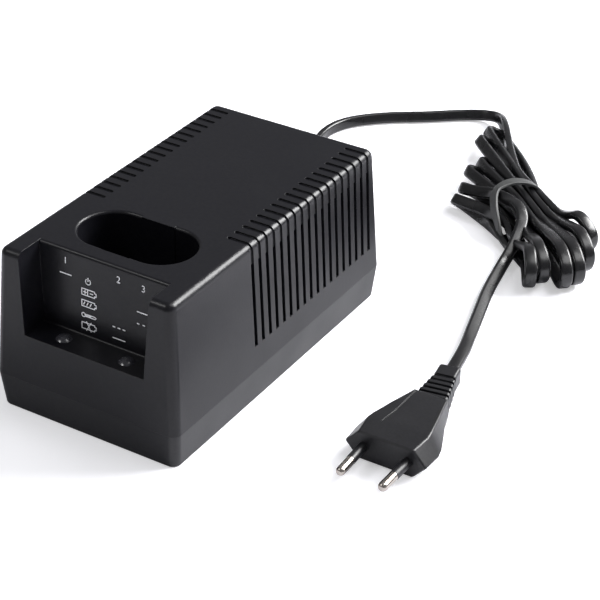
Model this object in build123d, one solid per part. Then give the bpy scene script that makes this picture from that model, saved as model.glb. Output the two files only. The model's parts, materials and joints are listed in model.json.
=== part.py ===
from build123d import *
import math
import os

# Mains charger for stick-shaped battery packs that are two cells wide.
# Millimetres. +X is the right side, +Y the rear and +Z up.
# The origin is the middle of the underside.

# ---- Housing: a tray below and a cover above, both drafted ----
body_width = 84.0  # across the parting line
body_length = 151.2  # front to rear at the parting line
body_height = 69.4
parting_height = 15.0
cover_lean = 3.05  # how far each cover side leans in at the top
tray_lean = 1.4  # how far each tray side leans in at the underside
corner_radius = 3.7
top_edge_radius = 3.2
underside_edge_radius = 1.0
smallest_radius = 0.8
wall = 2.5
floor_thickness = 2.5
lip_height = 2.5  # tongue of the tray inside the cover
lip_thickness = 1.1
lip_clearance = 0.15
fit_clearance = 0.05  # between pieces that seat in each other
label_field_depth = 0.4
label_field_width = 46.0
label_field_length = 34.0
label_field_corner = 2.0

# ---- Battery pocket in the cover ----
pocket_length = 49.4  # along X
pocket_width = 27.0
pocket_setback = 37.3  # body front to pocket centre
pocket_floor_height = 19.0
pocket_wall = 2.0
pocket_rim_radius = 1.3
pocket_floor_wall = 2.0
guide_rib_width = 15.0
guide_rib_height = 0.3  # how far it stands into the pocket
keyway_width = 13.0
keyway_depth = 1.1

# ---- Indicator recess at the front of the cover ----
recess_floor_height = 35.7
recess_floor_width = 54.6
recess_top_width = 59.0
recess_floor_depth = 13.5  # body front to the back wall, at the recess floor
recess_top_depth = 15.6
recess_wall = 2.2
recess_crease_radius = 0.8
recess_brow_radius = 1.6

# ---- Ventilation grooves over both top edges ----
vent_count = 18
vent_width = 2.1
vent_setback = 55.3  # body front to the first groove
vent_rear_margin = 9.54  # last groove to the body rear
vent_bottom = 25.5
vent_groove_depth = 0.6
vent_top_reach = 13.7  # from the parting line's side to the end of a groove on top
vent_slot_margin = 8.4  # below the top, where the groove goes right through the side wall

# ---- Housing screws ----
screw_shank_radius = 1.75
screw_head_radius = 3.3
screw_head_height = 2.6
screw_bite = 14.0  # length of shank inside the cover boss
screw_ledge_height = 8.0  # underside of the ledge that the head pulls on
boss_radius = 3.6
screw_well_wall = 1.1
front_boss_side = 9.2  # from the body side to the boss axis
front_boss_setback = 25.6
rear_boss_side = 11.0
rear_boss_margin = 11.8  # from the body rear
pilot_extra_depth = 2.0

# ---- Circuit board ----
board_thickness = 1.6
board_standoff = 4.5  # above the tray floor
board_side_margin = 14.5  # from the body side
board_front_margin = 1.5
board_rear_gap = 3.6  # to the transformer's bobbin
board_post_radius = 3.0
board_post_inset = 3.6
small_screw_radius = 1.4
small_screw_head_radius = 2.6
small_screw_head_height = 1.8
small_screw_length = 8.0

# ---- Indicator lamps ----
lamp_spacing = 28.8
lamp_shift = 0.8  # the pair sits slightly right of the middle
lamp_setback = 7.6  # body front to lamp axes
lens_cap_radius = 3.25
lens_cap_rise = 1.4
lens_stem_radius = 2.5
lens_stem_below_floor = 0.8
lamp_radius = 2.5
lamp_flange_radius = 2.9
lamp_flange_height = 1.0
lamp_height = 8.6
lamp_gap = 0.6  # between the lamp's tip and the lens stem
lamp_lead_half = 0.25
lamp_lead_pitch = 2.54
spacer_bore_radius = 1.9

# ---- Contacts in the pocket's rear wall ----
contact_pitch = 8.0
leaf_width = 4.0
leaf_thickness = 0.5
leaf_root_height = 5.0  # root axis above the board
leaf_root_gap = 3.3  # root axis behind the pocket's outer wall
leaf_root_radius = 0.9
leaf_pin_length = 7.0
leaf_reach = 1.5  # how far the bend stands into the pocket at rest
leaf_bend_height = 18.5  # bend above the root axis
leaf_tip_height = 25.0  # tip above the root axis
leaf_bend_radius = 1.8
pin_clearance = 0.05
window_side_gap = 0.7
window_end_gap = 2.0
carrier_depth = 8.0
carrier_height = 11.5
carrier_side_wall = 3.0
carrier_slot_gap = 0.5
carrier_wall_gap = 0.1
terminal_half = 0.4
terminal_gap = 0.7  # between a terminal's top and the moving root

# ---- Transformer ----
core_side_margin = 15.0  # from the body side
core_height = 45.0
core_leg = 9.0  # outer legs and yokes; the middle leg is twice this
core_base_height = 6.0
power_zone = 37.8  # from the pocket's outer wall to the transformer's bobbin
lead_zone = 16.1  # from the bobbin to the inside of the rear wall
winding_reach = 9.0  # beyond the core stack, front and rear
bobbin_wall = 1.0
bobbin_clearance = 0.15
primary_share = 0.55
winding_margin = 0.5
bracket_thickness = 1.2
bracket_margin = 1.0  # from each face of the core stack
bracket_foot_length = 9.5
bracket_clearance = 0.1
rail_width = 5.0
bracket_post_radius = 3.6

# ---- Parts on the board ----
capacitor_radius = 8.0
capacitor_height = 27.0
capacitor_side = 9.5  # from the board's left edge to the can's axis
heat_sink_left = 19.0  # from the board's left edge
heat_sink_right = 7.0  # from the board's right edge
heat_sink_height = 30.0
heat_sink_base = 2.5
heat_sink_fin = 1.2
heat_sink_fin_length = 5.0
heat_sink_fins = 6
power_row_margin = 9.6  # from the board's rear edge to the heat sink plate's rear face
transistor_width = 10.0
transistor_height = 9.2
transistor_depth = 4.4
transistor_tab_height = 15.0
transistor_tab_thickness = 1.3
transistor_lead_length = 6.0
transistor_screw_radius = 1.5
diode_radius = 2.6
diode_length = 9.0
diode_lead_radius = 0.6
diode_count = 4
diode_pitch = 7.0
chip_length = 19.3
chip_width = 6.4
chip_height = 3.4
chip_lead_pitch = 2.54
resistor_radius = 1.15
resistor_length = 6.4
resistor_lead_radius = 0.3
resistor_count = 5
resistor_pitch = 4.0
disc_radius = 3.2
disc_thickness = 2.4
disc_count = 3
disc_pitch = 6.0
fuse_radius = 2.6
fuse_length = 20.0
fuse_cap_length = 5.0
fuse_clip_thickness = 0.4
fuse_clip_width = 4.0

# ---- Mains lead ----
cord_width = 5.4  # wide way of the flat lead, used for its plain round tube
cord_exit_side = 26.0  # from the body's left side to the lead
gland_outer_width = 12.0
gland_outer_height = 10.0
gland_neck_width = 9.0
gland_neck_height = 8.0
gland_tail_width = 7.6
gland_tail_height = 6.4
gland_length = 24.0
gland_flange_thickness = 2.0
gland_draft_gap = 0.6  # the flange stays clear of the drafted inner face of the wall
cord_end_gap = 0.2  # between the gland's tip and the start of the lead's tube
lead_straight = 13.4  # the lead runs straight out of the gland this far
gland_slots = 4
gland_slot_depth = 1.2
gland_slot_width = 1.6
inner_cord_width = 5.2
inner_cord_height = 3.4
clamp_length = 20.0
clamp_width = 8.0
clamp_thickness = 3.2
clamp_post_pitch = 13.4
clamp_margin = 8.0  # from the inside of the rear wall to the clamp's middle
clamp_side_gap = 0.2  # between the lead and each cheek of its saddle
inner_cord_margin = 0.4  # how far the lead's jacket runs on past the clamp
wire_radius = 0.9
wire_bend_radius = 1.5
wire_board_margin = 2.5
winding_gap = 0.3
conductor_shift = 4.0

# ---- Hank of spare lead, tied at its waist ----
hank_height = 20.0
hank_base = 0.3
hank_waist = (66.0, 162.0)
hank_axis_end = (110.0, 124.8)  # a point that the hank's long axis passes through
waist_width = 30.0
waist_height = 14.0
waist_base = 1.8
lead_face = [(33.7, 238.6), (26.1, 232.1)]  # flat of the hank that the lead runs into
left_arc_start = (20.0, 222.0)
left_arc_middle = (22.5, 184.0)
left_arc_end = (36.0, 143.0)
tail_face = [(71.6, 128.0), (82.4, 130.0)]  # flat that the plug end leaves from
right_arc_start = (90.0, 101.0)
right_arc_middle = (120.0, 122.0)
right_arc_end = (109.0, 166.0)
tie_width = 4.2
tie_thickness = 1.4

# ---- Flat two-pin plug ----
plug_face = (104.1, -31.5)  # middle of the engagement face
plug_turn = 5.0  # degrees about Z from pointing straight forward
plug_width = 35.3
plug_height = 13.7
plug_body_length = 35.0
plug_shoulder = 9.0  # engagement face to the widest section
plug_face_width = 32.0
plug_face_height = 12.6
plug_top_width = 23.0
plug_rear_width = 14.6
plug_rear_height = 11.6
plug_rear_top_width = 12.2
relief_length = 25.3
relief_width = 11.6
relief_height = 9.6
relief_end_width = 9.2
relief_end_height = 8.0
relief_core_width = 7.6
relief_core_height = 6.6
relief_ribs = 5
relief_rib_thickness = 1.7
relief_collar_length = 6.5
pin_radius = 2.0
pin_core_radius = 1.5
pin_length = 19.0
pin_sleeve_length = 10.0
pin_embed = 7.0
pin_spacing = 18.6  # at the engagement face
pin_tip_spacing = 17.5
pin_tip_radius = 0.9

# ---- Places worked out from the sizes above ----
front = -body_length / 2
rear = body_length / 2
cord_exit_x = cord_exit_side - body_width / 2
pocket_y = front + pocket_setback
pocket_rear_y = pocket_y + pocket_width / 2
pocket_back_outer_y = pocket_rear_y + pocket_wall
board_base = floor_thickness + board_standoff
board_top = board_base + board_thickness
board_front = front + wall + board_front_margin
bobbin_front = pocket_back_outer_y + power_zone
bobbin_rear = rear - wall - lead_zone
transformer_y = (bobbin_front + bobbin_rear) / 2
core_stack = bobbin_rear - bobbin_front - 2 * winding_reach
core_width = body_width - 2 * core_side_margin
board_rear = bobbin_front - board_rear_gap
board_length = board_rear - board_front
board_width = body_width - 2 * board_side_margin
power_row_y = board_rear - power_row_margin
capacitor_x = capacitor_side - board_width / 2
heat_sink_width = board_width - heat_sink_left - heat_sink_right
heat_sink_x = (heat_sink_left - heat_sink_right) / 2
vent_pitch = (body_length - vent_setback - vent_rear_margin) / (vent_count - 1)
vent_inner_end = body_width / 2 - vent_top_reach
vent_slot_top = body_height - vent_slot_margin
lamp_y = front + lamp_setback
lamp_places = [lamp_shift - lamp_spacing / 2, lamp_shift + lamp_spacing / 2]
lamp_top = recess_floor_height - recess_wall - lens_stem_below_floor - lamp_gap
lamp_base = lamp_top - lamp_height
leaf_root_y = pocket_back_outer_y + leaf_root_gap
leaf_root_z = board_top + leaf_root_height
contact_places = [-contact_pitch, 0.0, contact_pitch]
front_boss_y = front + front_boss_setback
rear_boss_y = rear - rear_boss_margin
front_boss_x = body_width / 2 - front_boss_side
rear_boss_x = body_width / 2 - rear_boss_side
boss_places = [
    (front_boss_x, front_boss_y),
    (-front_boss_x, front_boss_y),
    (rear_boss_x, rear_boss_y),
    (-rear_boss_x, rear_boss_y),
]
core_top = core_base_height + core_height
window_low = core_base_height + core_leg
window_high = core_top - core_leg
bracket_hole_x = core_width / 2 + bracket_clearance + bracket_thickness + bracket_foot_length / 2
clamp_y = rear - wall - clamp_margin
inner_cord_end = clamp_y - clamp_width / 2 - inner_cord_margin
plug_axis_height = plug_height / 2

# Route of the lead from the gland to the hank, and from the hank to the plug.
# The lead rests on the surface that the housing stands on.
lead_route = [
    (cord_exit_x, rear + gland_length + cord_end_gap, parting_height),
    (cord_exit_x, rear + gland_length + lead_straight, parting_height),
    (-20.0, 129.0, 11.5),
    (-30.0, 146.0, 6.0),
    (-43.5, 162.0, 3.0),
    (-52.0, 181.0, 2.9),
    (-50.0, 201.0, 2.9),
    (-36.0, 217.0, 2.9),
    (-18.0, 229.5, 2.9),
    (-4.0, 241.5, 2.9),
    (7.5, 247.9, 2.9),
    (21.0, 245.6, 3.0),
    (29.8, 235.3, 3.1),
]
tail_route = [
    (77.0, 128.9, 3.0),
    (79.8, 114.0, 2.9),
    (84.5, 98.0, 2.9),
    (87.2, 80.0, 2.9),
    (92.5, 62.0, 3.2),
    (96.9, 46.0, 5.4),
    (98.82, 28.85, 6.85),
]


def post(x, y, z_low, z_high, radius):
    """Upright cylinder between two heights."""
    upright = (Align.CENTER, Align.CENTER, Align.MIN)
    return Pos(x, y, z_low) * Cylinder(radius, z_high - z_low, align=upright)


def slab(x_low, x_high, y_low, y_high, z_low, z_high):
    """Box between two corners."""
    middle = Pos((x_low + x_high) / 2, (y_low + y_high) / 2, (z_low + z_high) / 2)
    return middle * Box(x_high - x_low, y_high - y_low, z_high - z_low)


def rod_x(x_middle, y, z, radius, length):
    """Cylinder along X about its middle."""
    return Pos(x_middle, y, z) * Rot(0, 90, 0) * Cylinder(radius, length)


def rod_y(x, y_middle, z, radius, length):
    """Cylinder along Y about its middle."""
    return Pos(x, y_middle, z) * Rot(90, 0, 0) * Cylinder(radius, length)


def half_at(z, half):
    """Half a body size at height z, given its half at the parting line."""
    if z >= parting_height:
        return half - cover_lean * (z - parting_height) / (body_height - parting_height)
    return half - tray_lean * (parting_height - z) / parting_height


def body_section(z, inset):
    """Rounded outline of the body at height z, inset from its outer face."""
    radius = max(corner_radius - inset, smallest_radius)
    width = 2 * (half_at(z, body_width / 2) - inset)
    length = 2 * (half_at(z, body_length / 2) - inset)
    return Plane.XY.offset(z) * RectangleRounded(width, length, radius)


def body_core(z_low, z_high, inset):
    """Solid between two heights of the body, inset from its outer face."""
    return loft([body_section(z_low, inset), body_section(z_high, inset)], ruled=True)


def top_edges(solid):
    """Edges round the highest face."""
    return solid.faces().sort_by(Axis.Z)[-1].edges()


def lip_ring(outer_inset, inner_inset, z_low, height):
    """Upright ring that follows the body outline at the parting line."""
    outer = extrude(Plane.XY.offset(z_low) * body_outline(outer_inset), height)
    inner = extrude(Plane.XY.offset(z_low) * body_outline(inner_inset), height)
    return outer - inner


def body_outline(inset):
    """Outline of the body at the parting line, drawn at height zero."""
    radius = max(corner_radius - inset, smallest_radius)
    return RectangleRounded(body_width - 2 * inset, body_length - 2 * inset, radius)


def pocket_prism(extra, z_low, z_high):
    """Obround prism of the battery pocket, made larger all round by extra."""
    outline = SlotOverall(pocket_length + 2 * extra, pocket_width + 2 * extra)
    return Pos(0, pocket_y, z_low) * extrude(outline, z_high - z_low)


def recess_prism(extra):
    """Space of the indicator recess, open at the front and the top, made larger by extra."""
    floor_z = recess_floor_height - extra
    back_floor_y = front + recess_floor_depth + extra
    back_top_y = front + recess_top_depth + extra
    ahead = front - wall
    above = body_height + wall
    profile = Polygon(
        (ahead, floor_z),
        (back_floor_y, floor_z),
        (back_top_y, body_height),
        (back_top_y + 2 * recess_brow_radius, body_height),
        (back_top_y + 2 * recess_brow_radius, above),
        (ahead, above),
        align=None,
    )
    brow = profile.vertices().sort_by_distance((back_top_y, body_height, 0))[0]
    crease = profile.vertices().sort_by_distance((back_floor_y, floor_z, 0))[0]
    profile = fillet(brow, recess_brow_radius)
    crease = profile.vertices().sort_by_distance((back_floor_y, floor_z, 0))[0]
    profile = fillet(crease, recess_crease_radius)
    prism = extrude(Plane.YZ * profile, body_width / 2, both=True)
    spread = (recess_top_width - recess_floor_width) / (body_height - recess_floor_height)
    top_width = recess_top_width + spread * (above - body_height) + 2 * extra
    sides = Polygon(
        (-recess_floor_width / 2 - extra, recess_floor_height - extra),
        (recess_floor_width / 2 + extra, recess_floor_height - extra),
        (top_width / 2, above),
        (-top_width / 2, above),
        align=None,
    )
    between = extrude(Plane.XZ * sides, body_length, both=True)
    return prism & between


def vent_places():
    """Heights along Y of the ventilation grooves."""
    return [front + vent_setback + vent_pitch * index for index in range(vent_count)]


def vent_grooves():
    """Shallow grooves that wrap over the top edges on both sides."""
    core = body_core(parting_height, body_height - vent_groove_depth, vent_groove_depth)
    core = fillet(top_edges(core), top_edge_radius - vent_groove_depth)
    outer_x = body_width / 2 + wall
    length = 2 * (outer_x - vent_inner_end)
    outline = SlotOverall(length, vent_width)
    bars = []
    for y in vent_places():
        for side in (-1, 1):
            bar = extrude(outline, body_height + wall - vent_bottom)
            bars.append(Pos(side * outer_x, y, vent_bottom) * bar)
    return Part() + bars - core


def vent_slots():
    """Slots through the side walls, in line with the grooves."""
    inner_x = half_at(vent_slot_top, body_width / 2) - wall - smallest_radius
    outer_x = body_width / 2 + wall
    half = vent_width / 2
    slots = []
    for y in vent_places():
        slots.append(slab(inner_x, outer_x, y - half, y + half, vent_bottom, vent_slot_top))
        slots.append(slab(-outer_x, -inner_x, y - half, y + half, vent_bottom, vent_slot_top))
    return slots


def contact_windows():
    """Openings in the pocket's rear wall for the contact leaves."""
    half = leaf_width / 2 + window_side_gap
    low = leaf_root_z + leaf_bend_height - 3 * leaf_bend_radius - window_end_gap
    high = leaf_root_z + leaf_tip_height + window_end_gap
    ahead = pocket_rear_y - guide_rib_height - fit_clearance
    behind = pocket_back_outer_y + fit_clearance
    return [slab(x - half, x + half, ahead, behind, low, high) for x in contact_places]


def gland_passage():
    """Opening for the neck of the strain relief, half in the tray and half in the cover."""
    half_width = gland_neck_width / 2 + fit_clearance
    half_height = gland_neck_height / 2 + fit_clearance
    return slab(
        cord_exit_x - half_width,
        cord_exit_x + half_width,
        rear - 2 * wall,
        rear + wall,
        parting_height - half_height,
        parting_height + half_height,
    )


def make_upper_housing():
    """Cover with the battery pocket, indicator recess, grooves and screw bosses."""
    block = body_core(parting_height, body_height, 0)
    block = fillet(top_edges(block), top_edge_radius)
    plain_block = block
    block -= pocket_prism(0, pocket_floor_height, body_height + wall)
    rim = block.faces().filter_by(Axis.Z).sort_by(Axis.Z)[-1].inner_wires()[0].edges()
    block = fillet(rim, pocket_rim_radius)
    cavity = body_core(parting_height, body_height - wall, wall)
    cavity -= pocket_prism(pocket_wall, pocket_floor_height - pocket_floor_wall, body_height)
    cavity -= recess_prism(recess_wall)
    for x, y in boss_places:
        cavity -= post(x, y, parting_height, body_height, boss_radius)
    cover = block - cavity - recess_prism(0)
    ring_inset = wall - lip_thickness - lip_clearance
    cover -= lip_ring(ring_inset, wall + fit_clearance, parting_height, lip_height + lip_clearance)
    cover -= vent_grooves()
    cover -= vent_slots()
    half_rib = guide_rib_width / 2
    rib_front = pocket_rear_y - guide_rib_height
    rib_rear = pocket_rear_y + pocket_wall
    rib = slab(-half_rib, half_rib, rib_front, rib_rear, pocket_floor_height, body_height)
    cover += rib & plain_block
    half_key = keyway_width / 2
    key_rear = pocket_y
    key_front = pocket_y - pocket_width / 2 - keyway_depth
    cover -= slab(
        -half_key, half_key, key_front, key_rear, pocket_floor_height, body_height + wall
    )
    cover -= contact_windows()
    for x in lamp_places:
        below = recess_floor_height - 2 * recess_wall
        hole_radius = lens_stem_radius + fit_clearance
        cover -= post(x, lamp_y, below, recess_floor_height + wall, hole_radius)
    for x, y in boss_places:
        pilot_top = parting_height + screw_bite + pilot_extra_depth
        cover -= post(x, y, parting_height, pilot_top, screw_shank_radius + fit_clearance)
    cover -= gland_passage()
    return cover


def make_base_tray():
    """Tray with screw wells, board posts, transformer rails and the lead's saddle."""
    block = body_core(0, parting_height, 0)
    block = fillet(block.faces().sort_by(Axis.Z)[0].edges(), underside_edge_radius)
    cavity = body_core(floor_thickness, parting_height, wall)
    well_radius = screw_head_radius + screw_well_wall + fit_clearance
    for x, y in boss_places:
        cavity -= post(x, y, 0, parting_height, well_radius)
    for x, y in board_post_places():
        cavity -= post(x, y, 0, board_base, board_post_radius)
    for side in (-1, 1):
        outer = side * core_width / 2
        inner = side * (core_width / 2 - rail_width)
        rail_front = transformer_y - core_stack / 2
        rail_rear = transformer_y + core_stack / 2
        low_x = min(outer, inner)
        high_x = max(outer, inner)
        cavity -= slab(low_x, high_x, rail_front, rail_rear, 0, core_base_height)
        foot_x = side * bracket_hole_x
        cavity -= post(foot_x, transformer_y, 0, core_base_height, bracket_post_radius)
    saddle_top = parting_height - inner_cord_height / 2
    clamp_base = parting_height + inner_cord_height / 2
    half = clamp_length / 2
    cheek = (clamp_length - inner_cord_width) / 2 - clamp_side_gap
    cavity -= slab(
        cord_exit_x - half,
        cord_exit_x + half,
        clamp_y - clamp_width / 2,
        clamp_y + clamp_width / 2,
        0,
        saddle_top,
    )
    tray = block - cavity
    tray += lip_ring(wall - lip_thickness, wall, parting_height, lip_height)
    for side in (-1, 1):
        outer = cord_exit_x + side * half
        inner = outer - side * cheek
        low_x = min(outer, inner)
        high_x = max(outer, inner)
        tray += slab(
            low_x,
            high_x,
            clamp_y - clamp_width / 2,
            clamp_y + clamp_width / 2,
            floor_thickness,
            clamp_base,
        )
        hole_x = cord_exit_x + side * clamp_post_pitch / 2
        hole_low = clamp_base + clamp_thickness - small_screw_length
        tray -= post(hole_x, clamp_y, hole_low, clamp_base, small_screw_radius + fit_clearance)
    for x, y in boss_places:
        tray -= post(x, y, 0, screw_ledge_height, screw_head_radius + fit_clearance)
        tray -= post(x, y, 0, parting_height, screw_shank_radius + fit_clearance)
    for x, y in board_post_places():
        low = board_top - small_screw_length
        tray -= post(x, y, low, board_base, small_screw_radius + fit_clearance)
    for side in (-1, 1):
        low = core_base_height + bracket_thickness - small_screw_length
        hole_x = side * bracket_hole_x
        low = max(low, floor_thickness / 2)
        tray -= post(
            hole_x, transformer_y, low, core_base_height, small_screw_radius + fit_clearance
        )
    field = RectangleRounded(label_field_width, label_field_length, label_field_corner)
    tray -= Pos(0, pocket_y, 0) * extrude(field, label_field_depth)
    tray -= gland_passage()
    return tray


def board_post_places():
    """Middles of the four posts under the circuit board."""
    x = board_width / 2 - board_post_inset
    low_y = board_front + board_post_inset
    high_y = board_rear - board_post_inset
    return [(x, low_y), (-x, low_y), (x, high_y), (-x, high_y)]


def pan_screw(x, y, head_base, shank_length, shank_radius, head_radius, head_height):
    """Screw with its head up: the head stands on head_base and the shank hangs below."""
    head = post(x, y, head_base, head_base + head_height, head_radius)
    head = fillet(top_edges(head), head_height * 0.4)
    shank = post(x, y, head_base - shank_length, head_base, shank_radius)
    cross = slab(
        x - head_radius * 0.6,
        x + head_radius * 0.6,
        y - head_radius * 0.14,
        y + head_radius * 0.14,
        head_base + head_height * 0.45,
        head_base + 2 * head_height,
    )
    turned = Pos(x, y, 0) * Rot(0, 0, 90) * Pos(-x, -y, 0) * cross
    return head + shank - cross - turned


def small_screw(x, y, head_base, length):
    """Small screw with its head up."""
    return pan_screw(
        x,
        y,
        head_base,
        length,
        small_screw_radius,
        small_screw_head_radius,
        small_screw_head_height,
    )


def make_housing_screws():
    """Four long screws that go up through the tray into the cover bosses."""
    screws = []
    length = parting_height + screw_bite - screw_ledge_height
    for x, y in boss_places:
        screw = pan_screw(
            0,
            0,
            0,
            length,
            screw_shank_radius,
            screw_head_radius,
            screw_head_height,
        )
        screws.append(Pos(x, y, screw_ledge_height) * Rot(180, 0, 0) * screw)
    return screws


def make_circuit_board():
    """Main board with its four screw holes."""
    middle_y = (board_front + board_rear) / 2
    outline = RectangleRounded(board_width, board_length, smallest_radius)
    board = Pos(0, middle_y, board_base) * extrude(outline, board_thickness)
    for x, y in board_post_places():
        board -= post(x, y, 0, board_top + wall, small_screw_radius + fit_clearance)
    return board


def make_board_screws():
    """Four screws that hold the board on its posts."""
    return [
        small_screw(x, y, board_top, small_screw_length) for x, y in board_post_places()
    ]


def make_lens(x):
    """Domed indicator lens with its stem in the recess floor."""
    cap_sphere = (lens_cap_radius**2 + lens_cap_rise**2) / (2 * lens_cap_rise)
    ball = Pos(x, lamp_y, recess_floor_height + lens_cap_rise - cap_sphere) * Sphere(cap_sphere)
    keep = post(
        x, lamp_y, recess_floor_height, recess_floor_height + 2 * lens_cap_rise, lens_cap_radius
    )
    stem_low = recess_floor_height - recess_wall - lens_stem_below_floor
    stem = post(x, lamp_y, stem_low, recess_floor_height, lens_stem_radius)
    return (ball & keep) + stem


def make_lamp(x):
    """Round indicator lamp body with a flange and a domed top."""
    flange = post(x, lamp_y, lamp_base, lamp_base + lamp_flange_height, lamp_flange_radius)
    barrel = post(x, lamp_y, lamp_base, lamp_top - lamp_radius, lamp_radius)
    dome = Pos(x, lamp_y, lamp_top - lamp_radius) * Sphere(lamp_radius)
    return flange + barrel + dome


def make_lamp_spacers():
    """Tubes that hold the two lamps up off the board."""
    spacers = []
    for x in lamp_places:
        tube = post(x, lamp_y, board_top, lamp_base, lamp_flange_radius)
        spacers.append(tube - post(x, lamp_y, board_top, lamp_base, spacer_bore_radius))
    return spacers


def make_lamp_leads():
    """Square leads from each lamp down through the spacer to the board."""
    leads = []
    half = lamp_lead_half
    for x in lamp_places:
        for side in (-0.5, 0.5):
            middle = x + side * lamp_lead_pitch
            leads.append(
                slab(
                    middle - half,
                    middle + half,
                    lamp_y - half,
                    lamp_y + half,
                    board_top,
                    lamp_base,
                )
            )
    return leads


def make_contact_carrier():
    """Moulded block behind the pocket that holds the roots of the contact leaves."""
    half = contact_pitch + leaf_pin_length / 2 + carrier_side_wall
    carrier_front = pocket_back_outer_y + carrier_wall_gap
    carrier = slab(
        -half,
        half,
        carrier_front,
        carrier_front + carrier_depth,
        board_top,
        board_top + carrier_height,
    )
    slot_half = leaf_width / 2 + carrier_slot_gap
    slot_rear = leaf_root_y + leaf_root_radius + 3 * carrier_slot_gap
    slot_low = leaf_root_z - leaf_root_radius - carrier_slot_gap
    for x in contact_places:
        carrier -= slab(
            x - slot_half,
            x + slot_half,
            carrier_front,
            slot_rear,
            slot_low,
            board_top + carrier_height,
        )
        bore = leaf_root_radius + pin_clearance
        bore_length = leaf_pin_length + 2 * fit_clearance
        carrier -= rod_x(x, leaf_root_y, leaf_root_z, bore, bore_length)
        terminal_top = leaf_root_z - leaf_root_radius - terminal_gap
        carrier -= slab(
            x - terminal_half,
            x + terminal_half,
            leaf_root_y - terminal_half,
            leaf_root_y + terminal_half,
            board_top,
            max(terminal_top, slot_low),
        )
    return carrier


def make_contact_leaf(x):
    """Sprung leaf: a rolled root on a cross pin, and a bend that stands in the pocket."""
    bend_y = pocket_rear_y - guide_rib_height - leaf_reach
    root = (leaf_root_y, leaf_root_z)
    knee = (leaf_root_y - leaf_root_gap / 4, leaf_root_z + leaf_bend_height / 2)
    bend = (bend_y, leaf_root_z + leaf_bend_height)
    tip = (pocket_back_outer_y - pocket_wall / 4, leaf_root_z + leaf_tip_height)
    line = FilletPolyline(root, knee, bend, tip, radius=leaf_bend_radius)
    strip = extrude(Plane.YZ * trace(line, line_width=leaf_thickness), leaf_width / 2, both=True)
    roll = rod_x(0, leaf_root_y, leaf_root_z, leaf_root_radius, leaf_pin_length)
    return Pos(x, 0, 0) * (strip + roll)


def make_contact_terminals():
    """Square pins from the board up into the carrier, one for each leaf."""
    top = leaf_root_z - leaf_root_radius - terminal_gap
    half = terminal_half
    return [
        slab(x - half, x + half, leaf_root_y - half, leaf_root_y + half, board_top, top)
        for x in contact_places
    ]


def make_transformer_core():
    """Stack of E and I laminations with two windows."""
    front_y = transformer_y - core_stack / 2
    rear_y = transformer_y + core_stack / 2
    half = core_width / 2
    core = slab(-half, half, front_y, rear_y, core_base_height, core_top)
    for side in (-1, 1):
        inner = side * core_leg
        outer = side * (half - core_leg)
        low_x = min(inner, outer)
        high_x = max(inner, outer)
        core -= slab(low_x, high_x, front_y, rear_y, window_low, window_high)
    return core


def ring_block(half_x, half_y, hole_x, hole_y, z_low, z_high, corner):
    """Rectangular ring round the middle leg of the core."""
    outer = RectangleRounded(2 * half_x, 2 * half_y, corner)
    ring = Pos(0, transformer_y, z_low) * extrude(outer, z_high - z_low)
    hole = slab(
        -hole_x, hole_x, transformer_y - hole_y, transformer_y + hole_y, z_low, z_high
    )
    return ring - hole


def bobbin_sizes():
    """Half sizes of the bobbin's bore, its tube and its flanges."""
    bore_x = core_leg + bobbin_clearance
    bore_y = core_stack / 2 + bobbin_clearance
    flange_x = core_width / 2 - core_leg - bobbin_clearance
    flange_y = core_stack / 2 + winding_reach
    return bore_x, bore_y, flange_x, flange_y


def bobbin_divider():
    """Height of the middle flange, between the primary and the secondary."""
    low = window_low + bobbin_clearance + bobbin_wall
    high = window_high - bobbin_clearance - bobbin_wall
    return low + primary_share * (high - low)


def make_transformer_bobbin():
    """Two-chamber bobbin round the middle leg."""
    bore_x, bore_y, flange_x, flange_y = bobbin_sizes()
    low = window_low + bobbin_clearance
    high = window_high - bobbin_clearance
    middle = bobbin_divider()
    tube = ring_block(
        bore_x + bobbin_wall, bore_y + bobbin_wall, bore_x, bore_y, low, high, bobbin_wall / 2
    )
    flanges = [
        ring_block(flange_x, flange_y, bore_x, bore_y, z, z + bobbin_wall, bobbin_wall)
        for z in (low, middle, high - bobbin_wall)
    ]
    return tube + flanges


def make_winding(z_low, z_high):
    """Coil of wire between two flanges, as one plain ring."""
    bore_x, bore_y, flange_x, flange_y = bobbin_sizes()
    hole_x = bore_x + bobbin_wall
    hole_y = bore_y + bobbin_wall
    return ring_block(
        flange_x - winding_margin,
        flange_y - winding_margin,
        hole_x,
        hole_y,
        z_low,
        z_high,
        core_leg / 2,
    )


def make_primary_winding():
    """Mains winding, in the lower chamber."""
    return make_winding(window_low + bobbin_clearance + bobbin_wall, bobbin_divider())


def make_secondary_winding():
    """Low-voltage winding, in the upper chamber."""
    low = bobbin_divider() + bobbin_wall
    return make_winding(low, window_high - bobbin_clearance - bobbin_wall)


def make_transformer_bracket():
    """Steel strap over the core with a screw foot on each side."""
    inner = core_width / 2 + bracket_clearance
    outer = inner + bracket_thickness
    foot_end = outer + bracket_foot_length
    foot_top = core_base_height + bracket_thickness
    crown_low = core_top
    crown_high = core_top + bracket_thickness
    profile = Polygon(
        (-foot_end, core_base_height),
        (-inner, core_base_height),
        (-inner, crown_low),
        (inner, crown_low),
        (inner, core_base_height),
        (foot_end, core_base_height),
        (foot_end, foot_top),
        (outer, foot_top),
        (outer, crown_high),
        (-outer, crown_high),
        (-outer, foot_top),
        (-foot_end, foot_top),
        align=None,
    )
    turned = Plane(origin=(0, transformer_y, 0), z_dir=(0, -1, 0), x_dir=(1, 0, 0))
    bracket = extrude(turned * profile, core_stack / 2 - bracket_margin, both=True)
    for side in (-1, 1):
        bracket -= post(
            side * bracket_hole_x,
            transformer_y,
            0,
            foot_top + wall,
            small_screw_radius + fit_clearance,
        )
    return bracket


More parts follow.
